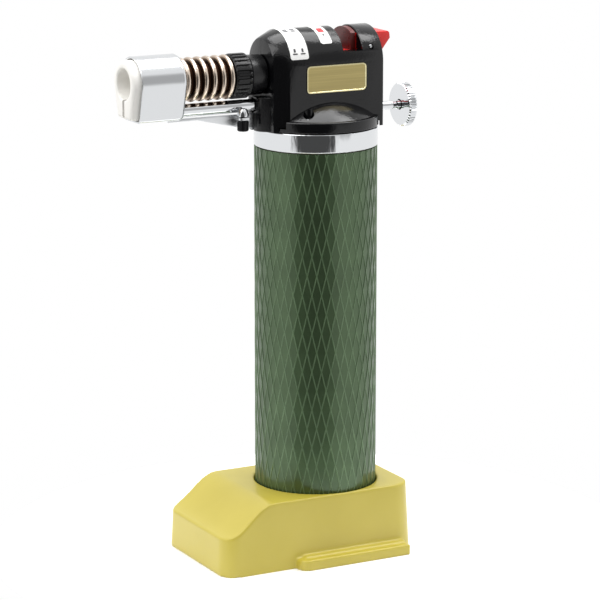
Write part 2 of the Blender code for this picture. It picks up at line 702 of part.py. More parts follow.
def shroud_outline(inset):
    """The flame shroud's section: a round crown, sides that lean in and a flat bottom."""
    axis = mm(BURNER_AXIS)
    crown, foot, foot_half, corner = 7.9 - inset, 136.0 + inset, 5.7 - inset, 1.3
    right = arc(corner, -90, -12, (foot_half - corner, foot + corner), 4)
    left = [(-y, z) for y, z in reversed(right)]
    return [*right, *arc(crown, -4, 184, (0, axis), 18), *left]


def make_nozzle():
    axis = (0, 0, mm(BURNER_AXIS))
    shroud = prism("flame_shroud", shroud_outline(0.0), -60.4, -45.8, "X", CHROME)
    round_edges(shroud, 0.5, 2, 60)
    cut(shroud, prism("shroud_hollow", shroud_outline(0.6), -65, -46.5, "X"))
    cut(shroud, rod("shroud_tube_hole", BORE, -50, -40, "X", axis, steps=ROUND_STEPS))
    cut(shroud, rod("shroud_rod_hole", 0.9, -50, -40, "X", (0, 0, mm(ELECTRODE_AXIS))))
    ceramic = prism("ceramic_nozzle", shroud_outline(0.95), mm(NOZZLE_TIP), -46.9, "X", CERAMIC)
    round_edges(ceramic, 0.8, 2, 60)
    cut(ceramic, rod("nozzle_bore", 4.65, -70, -40, "X", axis, steps=ROUND_STEPS))
    cut(ceramic, box("electrode_slot", (-70, -0.7, 137.35), (-40, 0.7, 143.5)))
    screen = rod("flame_screen", 4.35, -55.7, -54.6, "X", axis, STEEL, ROUND_STEPS)
    z = mm(BURNER_AXIS)
    holes = [(0, z), *arc(2.6, 0, 300, (0, z), 5)]
    for i, (y, height) in enumerate(holes):
        cut(screen, rod(f"screen_hole_{i}", 0.75, -60, -50, "X", (0, y, height), steps=10))


def make_bracket():
    gusset = [(-49, 134.9), (-39.5, 134.9), (-23.2, 131.1), (-19.2, 131.1), (-19.2, 135.7), (-49, 135.7)]
    bracket = prism("shroud_bracket", gusset, -0.5, 0.5, "Y", CHROME)
    x, y = -26.2, -3.6
    join(bracket, box("bracket_tab", (x - 1.9, y - 1.9, 134.6), (x + 1.9, -0.3, 135.3)))
    cut(bracket, rod("tab_hole", 1.0, 130, 140, "Z", (x, y, 0)))
    turned(
        "bracket_screw",
        [(0, 137.5), (0.65, 137.5), (0.65, 134.3), (1.4, 134.3), (1.7, 134.0), (1.7, 131.5), (1.4, 131.2), (0, 131.2)],
        BLACK_STEEL, at=(x * MM, y * MM, 0), steps=SMALL_STEPS,
    )
    turned(
        "bracket_cone_nut",
        [(0.95, 137.8), (1.25, 137.8), (1.75, 136.0), (1.75, 135.6), (0.95, 135.6)],
        CHROME, at=(x * MM, y * MM, 0), steps=SMALL_STEPS, closed=True,
    )


make_stand()
make_tank()
make_refill_valve()
make_head_base()
make_head_shells()
make_ignition()
make_gas_valve()
make_burner()
make_bracket()

for part in PARTS.objects:
    if part.type == "MESH":
        smooth(part.data)
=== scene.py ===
"""Looks of a piezo butane micro torch in its moulded stand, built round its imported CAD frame.

Sizes here are in millimetres and start from the frame's own boxes. Meshes are in metres, +Z up.
"""

import json
import math

import bmesh
import bpy
from mathutils import Matrix
from mathutils import Vector


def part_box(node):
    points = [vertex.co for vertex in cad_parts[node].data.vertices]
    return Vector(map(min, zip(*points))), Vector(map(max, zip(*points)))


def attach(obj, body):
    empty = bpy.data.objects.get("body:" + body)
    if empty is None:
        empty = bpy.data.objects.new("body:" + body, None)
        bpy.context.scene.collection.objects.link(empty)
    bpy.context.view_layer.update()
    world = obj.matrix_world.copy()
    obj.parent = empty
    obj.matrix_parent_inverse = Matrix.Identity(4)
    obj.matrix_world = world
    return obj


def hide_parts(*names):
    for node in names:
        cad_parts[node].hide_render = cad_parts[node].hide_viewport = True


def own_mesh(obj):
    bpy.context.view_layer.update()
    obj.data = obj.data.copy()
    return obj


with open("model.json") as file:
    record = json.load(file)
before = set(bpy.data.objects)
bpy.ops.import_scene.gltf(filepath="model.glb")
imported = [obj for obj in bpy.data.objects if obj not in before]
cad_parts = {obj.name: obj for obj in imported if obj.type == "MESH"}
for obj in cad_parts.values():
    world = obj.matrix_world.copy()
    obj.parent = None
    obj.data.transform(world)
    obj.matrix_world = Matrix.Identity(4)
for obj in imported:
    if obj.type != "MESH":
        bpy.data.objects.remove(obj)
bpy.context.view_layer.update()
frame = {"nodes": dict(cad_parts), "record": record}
MM = 0.001


# Camera: a long lens a little above the torch's middle, on the name plate's side and
# towards the nozzle, looking slightly down.

TURN, PITCH = math.radians(27.93), math.radians(12.88)
DISTANCE, FOCAL = 0.8632, 170.6
AIM_HEIGHT, AIM_SHIFT = 0.0767, -0.0047

forward = Vector((math.sin(TURN) * math.cos(PITCH), math.cos(TURN) * math.cos(PITCH), -math.sin(PITCH)))
rightward = Vector((math.cos(TURN), -math.sin(TURN), 0))
camera = bpy.data.objects.new("camera", bpy.data.cameras.new("camera"))
camera.data.lens = FOCAL
camera.data.clip_start = 0.01
camera.location = Vector((0, 0, AIM_HEIGHT)) - forward * DISTANCE + rightward * AIM_SHIFT
camera.rotation_euler = forward.to_track_quat("-Z", "Y").to_euler()
bpy.context.scene.collection.objects.link(camera)
bpy.context.scene.camera = camera


# Studio: a round white table in a white tent of light. The tent is open and dark behind the
# camera, which draws the dark bands down the middle of the bright metal, and a grey flag hangs
# to its right. No film curve is laid over the colours.

bpy.context.scene.view_settings.view_transform = "Standard"


def linear(code, alpha=1.0):
    """An sRGB hex colour as linear values."""
    values = [int(code[i:i + 2], 16) / 255 for i in (1, 3, 5)]
    return (*(v / 12.92 if v <= 0.04045 else ((v + 0.055) / 1.055) ** 2.4 for v in values), alpha)


def add(tree, kind, links=(), **settings):
    """Add a node. Settings are its properties, or its inputs where one has that name or number."""
    node = tree.nodes.new("ShaderNode" + kind)
    for name, value in settings.items():
        key = int(name[1:]) if name[0] == "i" and name[1:].isdigit() else name.replace("_", " ").title()
        if isinstance(key, int) or key in node.inputs:
            node.inputs[key].default_value = value
        else:
            setattr(node, name, value)
    for source, target in links:
        tree.links.new(source, node.inputs[target])
    return node


TENT = 0.97
SLIT, FLAG = (-0.515, -0.857, -0.02), (0.456, -0.857, 0.26)
world = bpy.data.worlds.new("tent")
bpy.context.scene.world = world
world.use_nodes = True
tree = world.node_tree
tree.nodes.clear()
direction = add(tree, "TexCoord").outputs["Generated"]
shades = []
for way, rim, core, bright, dark in ((SLIT, 0.68, 0.86, TENT, 0.07), (FLAG, 0.92, 0.985, 1.0, 0.5)):
    facing = add(tree, "VectorMath", [(direction, 0)], operation="DOT_PRODUCT", i1=way)
    shade = add(tree, "MapRange", [(facing.outputs["Value"], 0)], interpolation_type="SMOOTHSTEP",
                i1=rim, i2=core, i3=bright, i4=dark)
    shades.append(shade.outputs[0])
level = add(tree, "Math", [(shades[0], 0), (shades[1], 1)], operation="MULTIPLY")
tent = add(tree, "Background", [(level.outputs[0], 1)], i0=linear("#ffffff"))
backdrop = add(tree, "Background", i0=linear("#ffffff"), i1=1.0)
seen = add(tree, "LightPath").outputs["Is Camera Ray"]
mixed = add(tree, "MixShader", [(seen, 0), (tent.outputs[0], 1), (backdrop.outputs[0], 2)])
add(tree, "OutputWorld", [(mixed.outputs[0], 0)])

TORCH_MIDDLE = Vector((0, 0, 0.08))
for name, place, size, energy in (
    ("key_box", (-0.5, -0.1, 0.7), 0.5, 2.3),
    ("crown_box", (0.48, -0.12, 0.92), 0.36, 2.6),
    ("top_box", (0.05, 0.15, 0.9), 0.6, 5.0),
):
    light = bpy.data.objects.new(name, bpy.data.lights.new(name, "AREA"))
    light.data.size = size
    light.data.energy = energy
    light.location = place
    light.rotation_euler = (TORCH_MIDDLE - Vector(place)).to_track_quat("-Z", "Y").to_euler()
    bpy.context.scene.collection.objects.link(light)


def material(name):
    """A new material, as its node tree's material, tree and Principled shader."""
    made = bpy.data.materials.new(name)
    made.use_nodes = True
    return made, made.node_tree, made.node_tree.nodes["Principled BSDF"]


def dress(shader, **inputs):
    """Set plain values on a Principled shader's own sockets."""
    for name, value in inputs.items():
        shader.inputs[name.replace("_", " ").title().replace("Ior", "IOR")].default_value = value


TABLE_RADIUS = 0.1
white_table, tree, shader = material("matt white laminate")
dress(shader, base_color=linear("#fbfbfb"), roughness=0.9)
dress(shader, emission_color=linear("#ffffff"), emission_strength=0.05)
bm = bmesh.new()
bmesh.ops.create_circle(bm, cap_ends=True, segments=128, radius=TABLE_RADIUS)
mesh = bpy.data.meshes.new("table")
bm.to_mesh(mesh)
bm.free()
mesh.materials.append(white_table)
table = bpy.data.objects.new("table", mesh)
bpy.context.scene.collection.objects.link(table)


# Stand: one ABS moulding in olive yellow with a fine satin skin. It is hollow below, with a cup
# for the tank, a sloped front and a stepped foot flange along each side.

def noise(tree, size, detail, stretch=None):
    """Noise fixed in the piece, its grains about size millimetres across, stretched or not."""
    place = add(tree, "TexCoord").outputs["Object"]
    if stretch:
        place = add(tree, "Mapping", [(place, 0)], i3=stretch).outputs[0]
    return add(tree, "TexNoise", [(place, 0)], scale=1 / (size * MM), detail=detail).outputs[0]


def relief(tree, shader, height, strength, depth):
    """Raise a shader's surface by a pattern, up to a depth in millimetres."""
    bump = add(tree, "Bump", [(height, "Height")], strength=strength, distance=depth * MM)
    tree.links.new(bump.outputs[0], shader.inputs["Normal"])


def olive_abs():
    """Satin ABS: sparked tool texture softens every highlight, and the colour is nearly even.

    The real texture is some hundredths of a millimetre, and it is drawn coarser so that it shows.
    """
    made, tree, shader = material("olive yellow ABS, sparked satin")
    dress(shader, roughness=0.36, specular_ior_level=0.7)
    relief(tree, shader, noise(tree, 0.625, 2.0), 0.12, 0.05)
    tint = add(tree, "ValToRGB", [(noise(tree, 22.22, 3.0), 0)])
    for stop, position, code in zip(tint.color_ramp.elements, (0.3, 0.7), ("#b9a939", "#c1b144")):
        stop.position = position
        stop.color = linear(code)
    tree.links.new(tint.outputs[0], shader.inputs["Base Color"])
    return made


def packed(node):
    """A CAD node's lowest and highest corners at rest, in millimetres."""
    return [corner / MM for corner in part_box(node)]


def block(low, high):
    """A bmesh box between two corners in millimetres."""
    low, high = Vector(low) * MM, Vector(high) * MM
    bm = bmesh.new()
    size = Matrix.Diagonal((*(high - low), 1.0))
    bmesh.ops.create_cube(bm, size=1.0, matrix=Matrix.Translation((low + high) / 2) @ size)
    return bm


def round_off(bm, edges, width, segments=3):
    """Round some edges of a bmesh to a radius in millimetres."""
    bmesh.ops.bevel(bm, geom=edges, offset=width * MM, offset_type="OFFSET", affect="EDGES",
                    segments=segments, profile=0.5, material=-1, clamp_overlap=True)


def upright(edge):
    """Whether an edge stands along Z."""
    a, b = (vert.co for vert in edge.verts)
    return abs(a.x - b.x) + abs(a.y - b.y) < 0.01 * MM


def outward(bm):
    """Weld a closed shape's seams and make its faces point out."""
    bmesh.ops.remove_doubles(bm, verts=bm.verts, dist=0.001 * MM)
    bmesh.ops.recalc_face_normals(bm, faces=bm.faces)
    if bm.calc_volume(signed=True) < 0:
        bmesh.ops.reverse_faces(bm, faces=bm.faces)
    return bm


def loose(bm, name="tool"):
    """A bmesh as a plain object, to cut or join with."""
    mesh = bpy.data.meshes.new(name)
    bm.to_mesh(mesh)
    bm.free()
    obj = bpy.data.objects.new(name, mesh)
    bpy.context.scene.collection.objects.link(obj)
    return obj


def with_modifiers(bm, fit):
    """The bmesh after the modifiers that fit() puts on its object."""
    obj = loose(bm, "blank")
    fit(obj)
    depsgraph = bpy.context.evaluated_depsgraph_get()
    shape = bpy.data.meshes.new_from_object(obj.evaluated_get(depsgraph))
    done = bmesh.new()
    done.from_mesh(shape)
    bpy.data.meshes.remove(shape)
    bpy.data.objects.remove(obj, do_unlink=True)
    bmesh.ops.remove_doubles(done, verts=done.verts, dist=0.001 * MM)
    return done


def shaped(bm, steps):
    """Join or cut a bmesh with others, one after another, each given with its operation."""
    for operation, other in steps:
        tool = loose(other)

        def fit(obj):
            modifier = obj.modifiers.new("tool", "BOOLEAN")
            modifier.operation = operation
            modifier.object = tool

        bm = with_modifiers(bm, fit)
        bpy.data.objects.remove(tool, do_unlink=True)
    return bm


def softened(bm, voxel, passes):
    """Remesh at a voxel size and smooth, which rounds every edge as a moulding tool does."""
    def fit(obj):
        remesh = obj.modifiers.new("skin", "REMESH")
        remesh.mode = "VOXEL"
        remesh.voxel_size = voxel * MM
        soften = obj.modifiers.new("soften", "SMOOTH")
        soften.factor = 0.5
        soften.iterations = passes

    return with_modifiers(bm, fit)


def piece(bm, name, body, nodes, slot, *skins, sharp=35):
    """Turn a finished bmesh into a piece that rides on a body and stands for CAD nodes."""
    bmesh.ops.remove_doubles(bm, verts=bm.verts, dist=0.001 * MM)
    mesh = bpy.data.meshes.new(name)
    bm.to_mesh(mesh)
    bm.free()
    for skin in skins:
        mesh.materials.append(skin)
    mesh.shade_smooth()
    mesh.set_sharp_from_angle(angle=math.radians(sharp))
    obj = bpy.data.objects.new(name, mesh)
    bpy.context.scene.collection.objects.link(obj)
    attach(obj, body)
    if nodes:
        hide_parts(*nodes)
    return obj


def only(kind, geometry):
    """The vertices or the faces among a bmesh operator's results."""
    return [item for item in geometry if isinstance(item, kind)]


def extruded(outline, low, high, axis):
    """Extrude an outline in millimetres: (y, z) along X, (x, z) along Y or (x, y) along Z."""
    order = {"X": (2, 0, 1), "Y": (0, 2, 1), "Z": (0, 1, 2)}[axis]
    bm = bmesh.new()
    ring = [bm.verts.new(Vector([(a, b, low)[i] for i in order]) * MM) for a, b in outline]
    grown = bmesh.ops.extrude_face_region(bm, geom=[bm.faces.new(ring)])["geom"]
    shift = Vector([(0, 0, high - low)[i] for i in order]) * MM
    bmesh.ops.translate(bm, verts=only(bmesh.types.BMVert, grown), vec=shift)
    return outward(bm)


def arc(radius, start, end, centre=(0, 0), steps=8):
    """Points in millimetres round a centre, between two angles in degrees."""
    angles = [math.radians(start + (end - start) * i / steps) for i in range(steps + 1)]
    return [(centre[0] + radius * math.cos(a), centre[1] + radius * math.sin(a)) for a in angles]


def placed(bm, about, centre):
    """Turn a shape made about Z to lie about another axis, and move it to its centre."""
    turns = {"X": Matrix.Rotation(math.pi / 2, 4, "Y"), "Y": Matrix.Rotation(-math.pi / 2, 4, "X")}
    matrix = Matrix.Translation(Vector(centre) * MM) @ turns.get(about, Matrix.Identity(4))
    bmesh.ops.transform(bm, matrix=matrix, verts=bm.verts)
    return bm


def turned(profile, steps=96, about="Z", centre=(0, 0, 0), ring=False):
    """Spin (radius, height) points in millimetres about an axis. A ring's profile is closed."""
    bm = bmesh.new()
    verts = [bm.verts.new((radius * MM, 0, height * MM)) for radius, height in profile]
    ends = verts[1:] + verts[:1] if ring else verts[1:]
    edges = [bm.edges.new(pair) for pair in zip(verts, ends)]
    bmesh.ops.spin(bm, geom=verts + edges, axis=(0, 0, 1), cent=(0, 0, 0), angle=2 * math.pi,
                   steps=steps, use_merge=True)
    return placed(outward(bm), about, centre)


def rod(radius, low, high, steps=32, about="Z", centre=(0, 0, 0)):
    """A plain rod between two heights on its axis."""
    return turned([(0, high), (radius, high), (radius, low), (0, low)], steps, about, centre)


STAND, GRIP = packed("stand_base"), packed("grip_sleeve")
STAND_TOP, STAND_HALF = STAND[1].z, 20.7
FRONT_CORNER, REAR_CORNER, DRAFT = 5.1, 6.6, 0.8 / STAND_TOP
NOSE_HIGH, SLOPE_END, SLOPE_STEPS = 11.7, 17.0, 24
WALL_THICK, RIB_HALF, RIB_PLACES = 1.9, 0.7, (-6.2, 6.2)
CUP, CUP_FLOOR, CUP_EASE = GRIP[1].x + 0.3, 2, 0.3
REACH = 40


def stand_form(inset, foot, top):
    """The stand's drafted block with round corners and a sloped front, set in by a wall."""
    half = STAND_HALF - inset
    bm = block((STAND[0].x + inset, -half, foot), (STAND[1].x - inset, half, top))
    corners = [edge for edge in bm.edges if upright(edge)]
    for front, radius in ((True, FRONT_CORNER), (False, REAR_CORNER)):
        near = [edge for edge in corners if edge.is_valid and (edge.verts[0].co.x < 0) == front]
        round_off(bm, near, radius - inset, 10)
    for vert in bm.verts:
        lean = DRAFT * vert.co.z
        vert.co.x -= math.copysign(lean, vert.co.x)
        vert.co.y -= math.copysign(lean, vert.co.y)
    (x0, z0), (x1, z1) = (STAND[0].x + 0.3, NOSE_HIGH), (STAND[0].x + SLOPE_END, STAND_TOP)
    slope = []
    for i in range(SLOPE_STEPS + 1):
        wave = 0.5 - 0.5 * math.cos(math.pi * i / SLOPE_STEPS)
        slope.append((x0 + inset + (x1 - x0) * i / SLOPE_STEPS, z0 - inset + (z1 - z0) * wave))
    above = [(x0 - 20, z1 + 20), (x0 - 20, z0 - inset), *slope, (x1 + 9, z1 + 20)]
    return shaped(bm, [("DIFFERENCE", extruded(above, -REACH, REACH, "Y"))])


FOOT_HIGH, FOOT_CORNER, STEP_HIGH, STEP_EDGE = 3.2, 3.0, 3.75, 22.3
steps = []
for side in (-1, 1):
    near, far = sorted((side * 18.0, side * STAND[1].y))
    foot = block((-17.5, near, 0), (19.6, far, FOOT_HIGH))
    corners = [e for e in foot.edges if upright(e) and e.verts[0].co.x < 0]
    round_off(foot, [e for e in corners if abs(e.verts[0].co.y) > 20 * MM], FOOT_CORNER, 6)
    near, far = sorted((side * 18.0, side * STEP_EDGE))
    steps += [("UNION", foot), ("UNION", block((-15.2, near, 1), (19.2, far, STEP_HIGH)))]
hollow = stand_form(WALL_THICK, -1, STAND_TOP - WALL_THICK)
ribs = [("DIFFERENCE", block((-45, y - RIB_HALF, -5), (30, y + RIB_HALF, REACH))) for y in RIB_PLACES]
hollow = shaped(hollow, [("DIFFERENCE", rod(CUP + WALL_THICK, -5, REACH, 96)), *ribs])
socket = turned([(0, REACH), (CUP + CUP_EASE, REACH), (CUP + CUP_EASE, STAND_TOP),
                 (CUP, STAND_TOP - CUP_EASE), (CUP, CUP_FLOOR), (0, CUP_FLOOR)])
stand = shaped(stand_form(0, 0, STAND_TOP), [*steps, ("DIFFERENCE", hollow), ("DIFFERENCE", socket)])
SKIN_VOXEL = 0.46
stand = softened(stand, SKIN_VOXEL, 1)
piece(stand, "moulded_stand", "stand", ["stand_base"], "olive_abs", olive_abs(), sharp=60)


# Grip sleeve: aluminium tube rolled with a long diamond knurl and dyed green. Its satin metal mirrors the
# room in green, dark down the middle. The raised lines scatter a little more light and are painted a
# lighter green, partly wear on the ridges and partly a painted highlight for the light they catch.

def dyed_aluminium(name, code, roughness, metallic):
    """Anodised and dyed aluminium: a soft green mirror under a thin clear skin.

    The etch is finer than a tenth of a millimetre, and it is drawn at 1.1 mm so that it shows.
    """
    made, tree, shader = material(name)
    dress(shader, roughness=roughness, metallic=metallic, coat_weight=0.45, coat_roughness=0.15)
    relief(tree, shader, noise(tree, 1.1111, 3.0), 0.15, 0.06)
    mottled(tree, shader, noise(tree, 8.3333, 4.0), code, 0.88, 1.12)
    return made


def mottled(tree, shader, pattern, code, dark, bright):
    """Colour a shader, darker and brighter by shares of its value where a pattern runs."""
    lift = add(tree, "MapRange", [(pattern, 0)], i1=0.3, i2=0.7, i3=dark, i4=bright)
    shade = add(tree, "HueSaturation", [(lift.outputs[0], "Value")], color=linear(code))
    tree.links.new(shade.outputs[0], shader.inputs["Base Color"])


DIAMONDS, DIAMOND_TALL, TUBE_WALL = 40, 11.7, 0.9
LINE, WALL, SUNK = 0.08, 0.13, 0.18
radius, low, high = GRIP[1].x, GRIP[0].z, GRIP[1].z
wide = 2 * math.pi * radius / DIAMONDS
half_count = DIAMONDS // 2 + 12
bm = bmesh.new()
bmesh.ops.create_grid(bm, x_segments=half_count * 2, y_segments=half_count * 2, size=half_count)
bmesh.ops.rotate(bm, matrix=Matrix.Rotation(math.pi / 4, 3, "Z"), verts=bm.verts)
bmesh.ops.scale(bm, vec=(wide * MM / math.sqrt(2), DIAMOND_TALL * MM / math.sqrt(2), 1), verts=bm.verts)
middle, reach = (low + high) / 2 * MM, (high - low) / 2 * MM + DIAMOND_TALL * MM
across = math.pi * radius * MM
spare = []
for face in bm.faces:
    centre = face.calc_center_median()
    if not -across + 0.01 * MM < centre.x < across + 0.01 * MM or abs(centre.y) > reach:
        spare.append(face)
bmesh.ops.delete(bm, geom=spare, context="FACES")
for vert in bm.verts:
    angle = vert.co.x / (radius * MM)
    vert.co = (radius * MM * math.sin(angle), -radius * MM * math.cos(angle), middle + vert.co.y)
bmesh.ops.remove_doubles(bm, verts=bm.verts, dist=0.02 * MM)
bmesh.ops.recalc_face_normals(bm, faces=bm.faces)
diamonds = list(bm.faces)
bmesh.ops.inset_individual(bm, faces=diamonds, thickness=LINE * MM, use_even_offset=True)
# The raised lines take the lighter green: wear on the ridges and a painted highlight.
for face in bm.faces:
    face.material_index = 1
bmesh.ops.inset_individual(bm, faces=diamonds, thickness=WALL * MM, depth=-SUNK * MM,
                           use_even_offset=True)
for face in diamonds:
    face.material_index = 0
for plane, up in ((low, -1), (high, 1)):
    bmesh.ops.bisect_plane(bm, geom=[*bm.verts, *bm.edges, *bm.faces], dist=0.001 * MM,
                           plane_co=(0, 0, plane * MM), plane_no=(0, 0, up), clear_outer=True)
for plane in (low, high):
    rim = [e for e in bm.edges if e.is_boundary and abs(e.verts[0].co.z - plane * MM) < 0.01 * MM]
    inner = bmesh.ops.extrude_edge_only(bm, edges=rim)["geom"]
    for vert in only(bmesh.types.BMVert, inner):
        flat = Vector((vert.co.x, vert.co.y, 0)).normalized() * (radius - TUBE_WALL) * MM
        vert.co = (flat.x, flat.y, plane * MM)
bmesh.ops.remove_doubles(bm, verts=bm.verts, dist=0.005 * MM)
bmesh.ops.bridge_loops(bm, edges=[e for e in bm.edges if e.is_boundary])
bmesh.ops.recalc_face_normals(bm, faces=bm.faces)
GREEN = dyed_aluminium("green anodised aluminium, in the diamonds", "#4d6244", 0.36, 0.8)
# A lighter copy of the green for the raised lines: partly wear, partly painted highlight.
GREEN_WEAR_AND_HIGHLIGHT = dyed_aluminium("green anodised aluminium, on the raised lines", "#677f5e", 0.38, 0.6)
piece(bm, "knurled_grip", "torch", ["grip_sleeve"], "green_knurl", GREEN, GREEN_WEAR_AND_HIGHLIGHT, sharp=28)


# Collar: a brass ring turned and bright chrome plated, pressed over the tank's neck. It
# mirrors the room, so it shows white edges with dark bands between them.

def chrome(name, roughness=0.05, ripple_height=0.1, stretch=(1, 1, 1), colour="#e4e6e8"):
    """Bright chrome over polished metal: a near mirror with a 7 mm ripple left by the buff."""
    made, tree, shader = material(name)
    dress(shader, base_color=linear(colour), metallic=1.0, roughness=roughness)
    relief(tree, shader, noise(tree, 7.1429, 3.0, stretch), ripple_height, 0.2)
    return made


CHROME = chrome("bright chrome plate on turned brass")
RIPPLED_CHROME = chrome("bright chrome plate, rippled by the buff", 0.08, 0.8, (3, 3, 0.6))
ring = packed("collar_ring")
outer, foot, top = ring[1].x, ring[0].z, ring[1].z
BORE, EASE = 16.8, 0.35
profile = [(BORE, top), (outer - EASE, top), *arc(EASE, 90, 0, (outer - EASE, top - EASE), 4),
           *arc(EASE, 0, -90, (outer - EASE, foot + EASE), 4), (BORE, foot)]
piece(turned(profile, 160, ring=True), "chrome_collar", "torch", ["collar_ring"], "chrome", RIPPLED_CHROME)


# Head base: a glossy black ABS flange and low dome that closes the tank. Two screws sink into
# wells in the dome, beside the slot that the head stands in.

def black_abs(name="black ABS, polished tool", roughness=0.11):
    """Glossy moulded ABS: deep black with a clear highlight and a faint 9 mm flow ripple.

    Its skin also has the tool's grain, drawn at half a millimetre so that it shows.
    """
    made, tree, shader = material(name)
    dress(shader, base_color=linear("#08080a"), specular_ior_level=0.42)
    ripple, grain = noise(tree, 9.0909, 2.0), noise(tree, 0.45455, 1.0)
    both = add(tree, "Math", [(ripple, 0), (grain, 1), (ripple, 2)], operation="MULTIPLY_ADD")
    relief(tree, shader, both.outputs[0], 0.4, 0.2)
    worn(tree, shader, ripple, roughness - 0.04, roughness + 0.08, start=0.35)
    return made


def worn(tree, shader, pattern, glossy, dull, start=0.3):
    """Let a shader's roughness run from glossy to dull along a pattern."""
    wear = add(tree, "MapRange", [(pattern, 0)], i1=start, i2=0.7, i3=glossy, i4=dull)
    tree.links.new(wear.outputs[0], shader.inputs["Roughness"])


def centre_of(node):
    """The middle of a CAD node's box, in millimetres."""
    low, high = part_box(node)
    return (low + high) / 2 / MM


BLACK = black_abs()
base = packed("head_base")
rim, foot = base[1].x, base[0].z
DOME, DOME_CENTRE, STEP = 26.0, foot - 15.87, foot + 3.2
DOME_TOP, DOME_FOOT, NECK, SLOT_HALF, SLOT_FLOOR = 9.0, 17.6, 4.4, 10.58, foot + 1.0
start, end = (math.degrees(math.acos(reach / DOME)) for reach in (DOME_TOP, DOME_FOOT))
profile = [*arc(DOME, start, end, (0, DOME_CENTRE), 20), *arc(0.35, 225, 270, (18.2, STEP + 0.35), 2),
           *arc(0.5, 90, 0, (rim - 0.5, STEP - 0.5), 5), *arc(0.25, 0, -90, (rim - 0.25, foot + 0.25), 3),
           (NECK, foot), (NECK, SLOT_FLOOR), (DOME_TOP, SLOT_FLOOR)]
bm = turned(profile, 160, ring=True)
cuts = [("DIFFERENCE", block((-30, -SLOT_HALF, SLOT_FLOOR), (30, SLOT_HALF, 150)))]
HEAD_SEAT, SHANK_HOLE = 133.2, 1.1
well = [(0, 141), (2.6, 141), (1.85, 137.4), (1.65, 136.6), (1.65, HEAD_SEAT), (SHANK_HOLE, HEAD_SEAT),
        (SHANK_HOLE, 120), (0, 120)]
for i in (1, 2):
    sink = centre_of(f"head_base_screw_{i}")
    cuts.append(("DIFFERENCE", turned(well, 40, centre=(sink.x, sink.y, 0))))
piece(shaped(bm, cuts), "head_base_dome", "torch", ["head_base"], "black_abs", BLACK, sharp=30)


# Head shells: the left and right halves of the housing in glossy black ABS, screwed together
# along the middle. The crown is notched for the button and the foot runs forward as a block.

CROWN = 10.28
left = packed("head_shell_left")
AXIS = left[1].z - CROWN
HEAD_FRONT, CONE_START, HEAD_REAR, HEAD_FOOT = -18.4, -14.0, left[1].x, left[0].z


def head_solid():
    """The housing's outer form: an arched bar with a coned front and eased end edges."""
    arch = [(-CROWN, HEAD_FOOT), (CROWN, HEAD_FOOT), *arc(CROWN, 0, 180, (0, AXIS), 48)]
    bm = extruded(arch, CONE_START, HEAD_REAR - 0.5, "X")
    cone = [(HEAD_FRONT + 0.5, 0.81), (HEAD_FRONT + 0.1, 0.775), (HEAD_FRONT, 0.74)]
    for side, places in ((-1, cone), (1, [(HEAD_REAR - 0.15, 0.985), (HEAD_REAR, 0.955)])):
        cap = [face for face in bm.faces if face.normal.x * side > 0.9]
        last = 1.0
        for place, share in places:
            grown = bmesh.ops.extrude_face_region(bm, geom=cap)["geom"]
            bmesh.ops.delete(bm, geom=cap, context="FACES")
            cap = only(bmesh.types.BMFace, grown)
            for vert in only(bmesh.types.BMVert, grown):
                vert.co.x = place * MM
                vert.co.y *= share / last
                rise = vert.co.z - AXIS * MM
                if rise > 0:
                    vert.co.z = AXIS * MM + rise * share / last
            last = share
    return outward(bm)


def head_block():
    """The block under the burner, its corners rounded and its top edge eased."""
    outline = [(-21.2, -3.3), (-16.4, -8.1), (-13.0, -8.1), (-13.0, 8.1), (-16.4, 8.1), (-21.2, 3.3)]
    bm = extruded(outline, HEAD_FOOT - 0.1, 140.8, "Z")
    round_off(bm, [e for e in bm.edges if upright(e) and e.verts[0].co.x < -15 * MM], 1.2, 5)
    level = [e for e in bm.edges if not upright(e)]
    round_off(bm, [e for e in level if max(vert.co.x for vert in e.verts) < -13.1 * MM], 0.4, 3)
    return bm


NOTCH, NOTCH_FLOOR = (4.3, 10.8), 153.4
BURNER_Z, TUBE_Z, KNOB_Z = 147.1, 138.1, 134.6
SIDE_SCREWS = [centre_of(f"head_shell_screw_{i}") for i in (1, 2, 3)]
PIN, PLATE = centre_of("button_stop_pin"), packed("name_plate")
NOTCH_EASE, PLATE_GAP = 0.22, 0.15


def groove(place):
    """A V groove turned round the crown, which eases the notch's edges."""
    profile = [(CROWN - NOTCH_EASE, place), (CROWN + 2, place - 2), (CROWN + 2, place + 2)]
    below = block((-40, -30, 100), (40, 30, NOTCH_FLOOR - 0.1))
    return shaped(turned(profile, 96, "X", (0, 0, AXIS), ring=True), [("DIFFERENCE", below)])


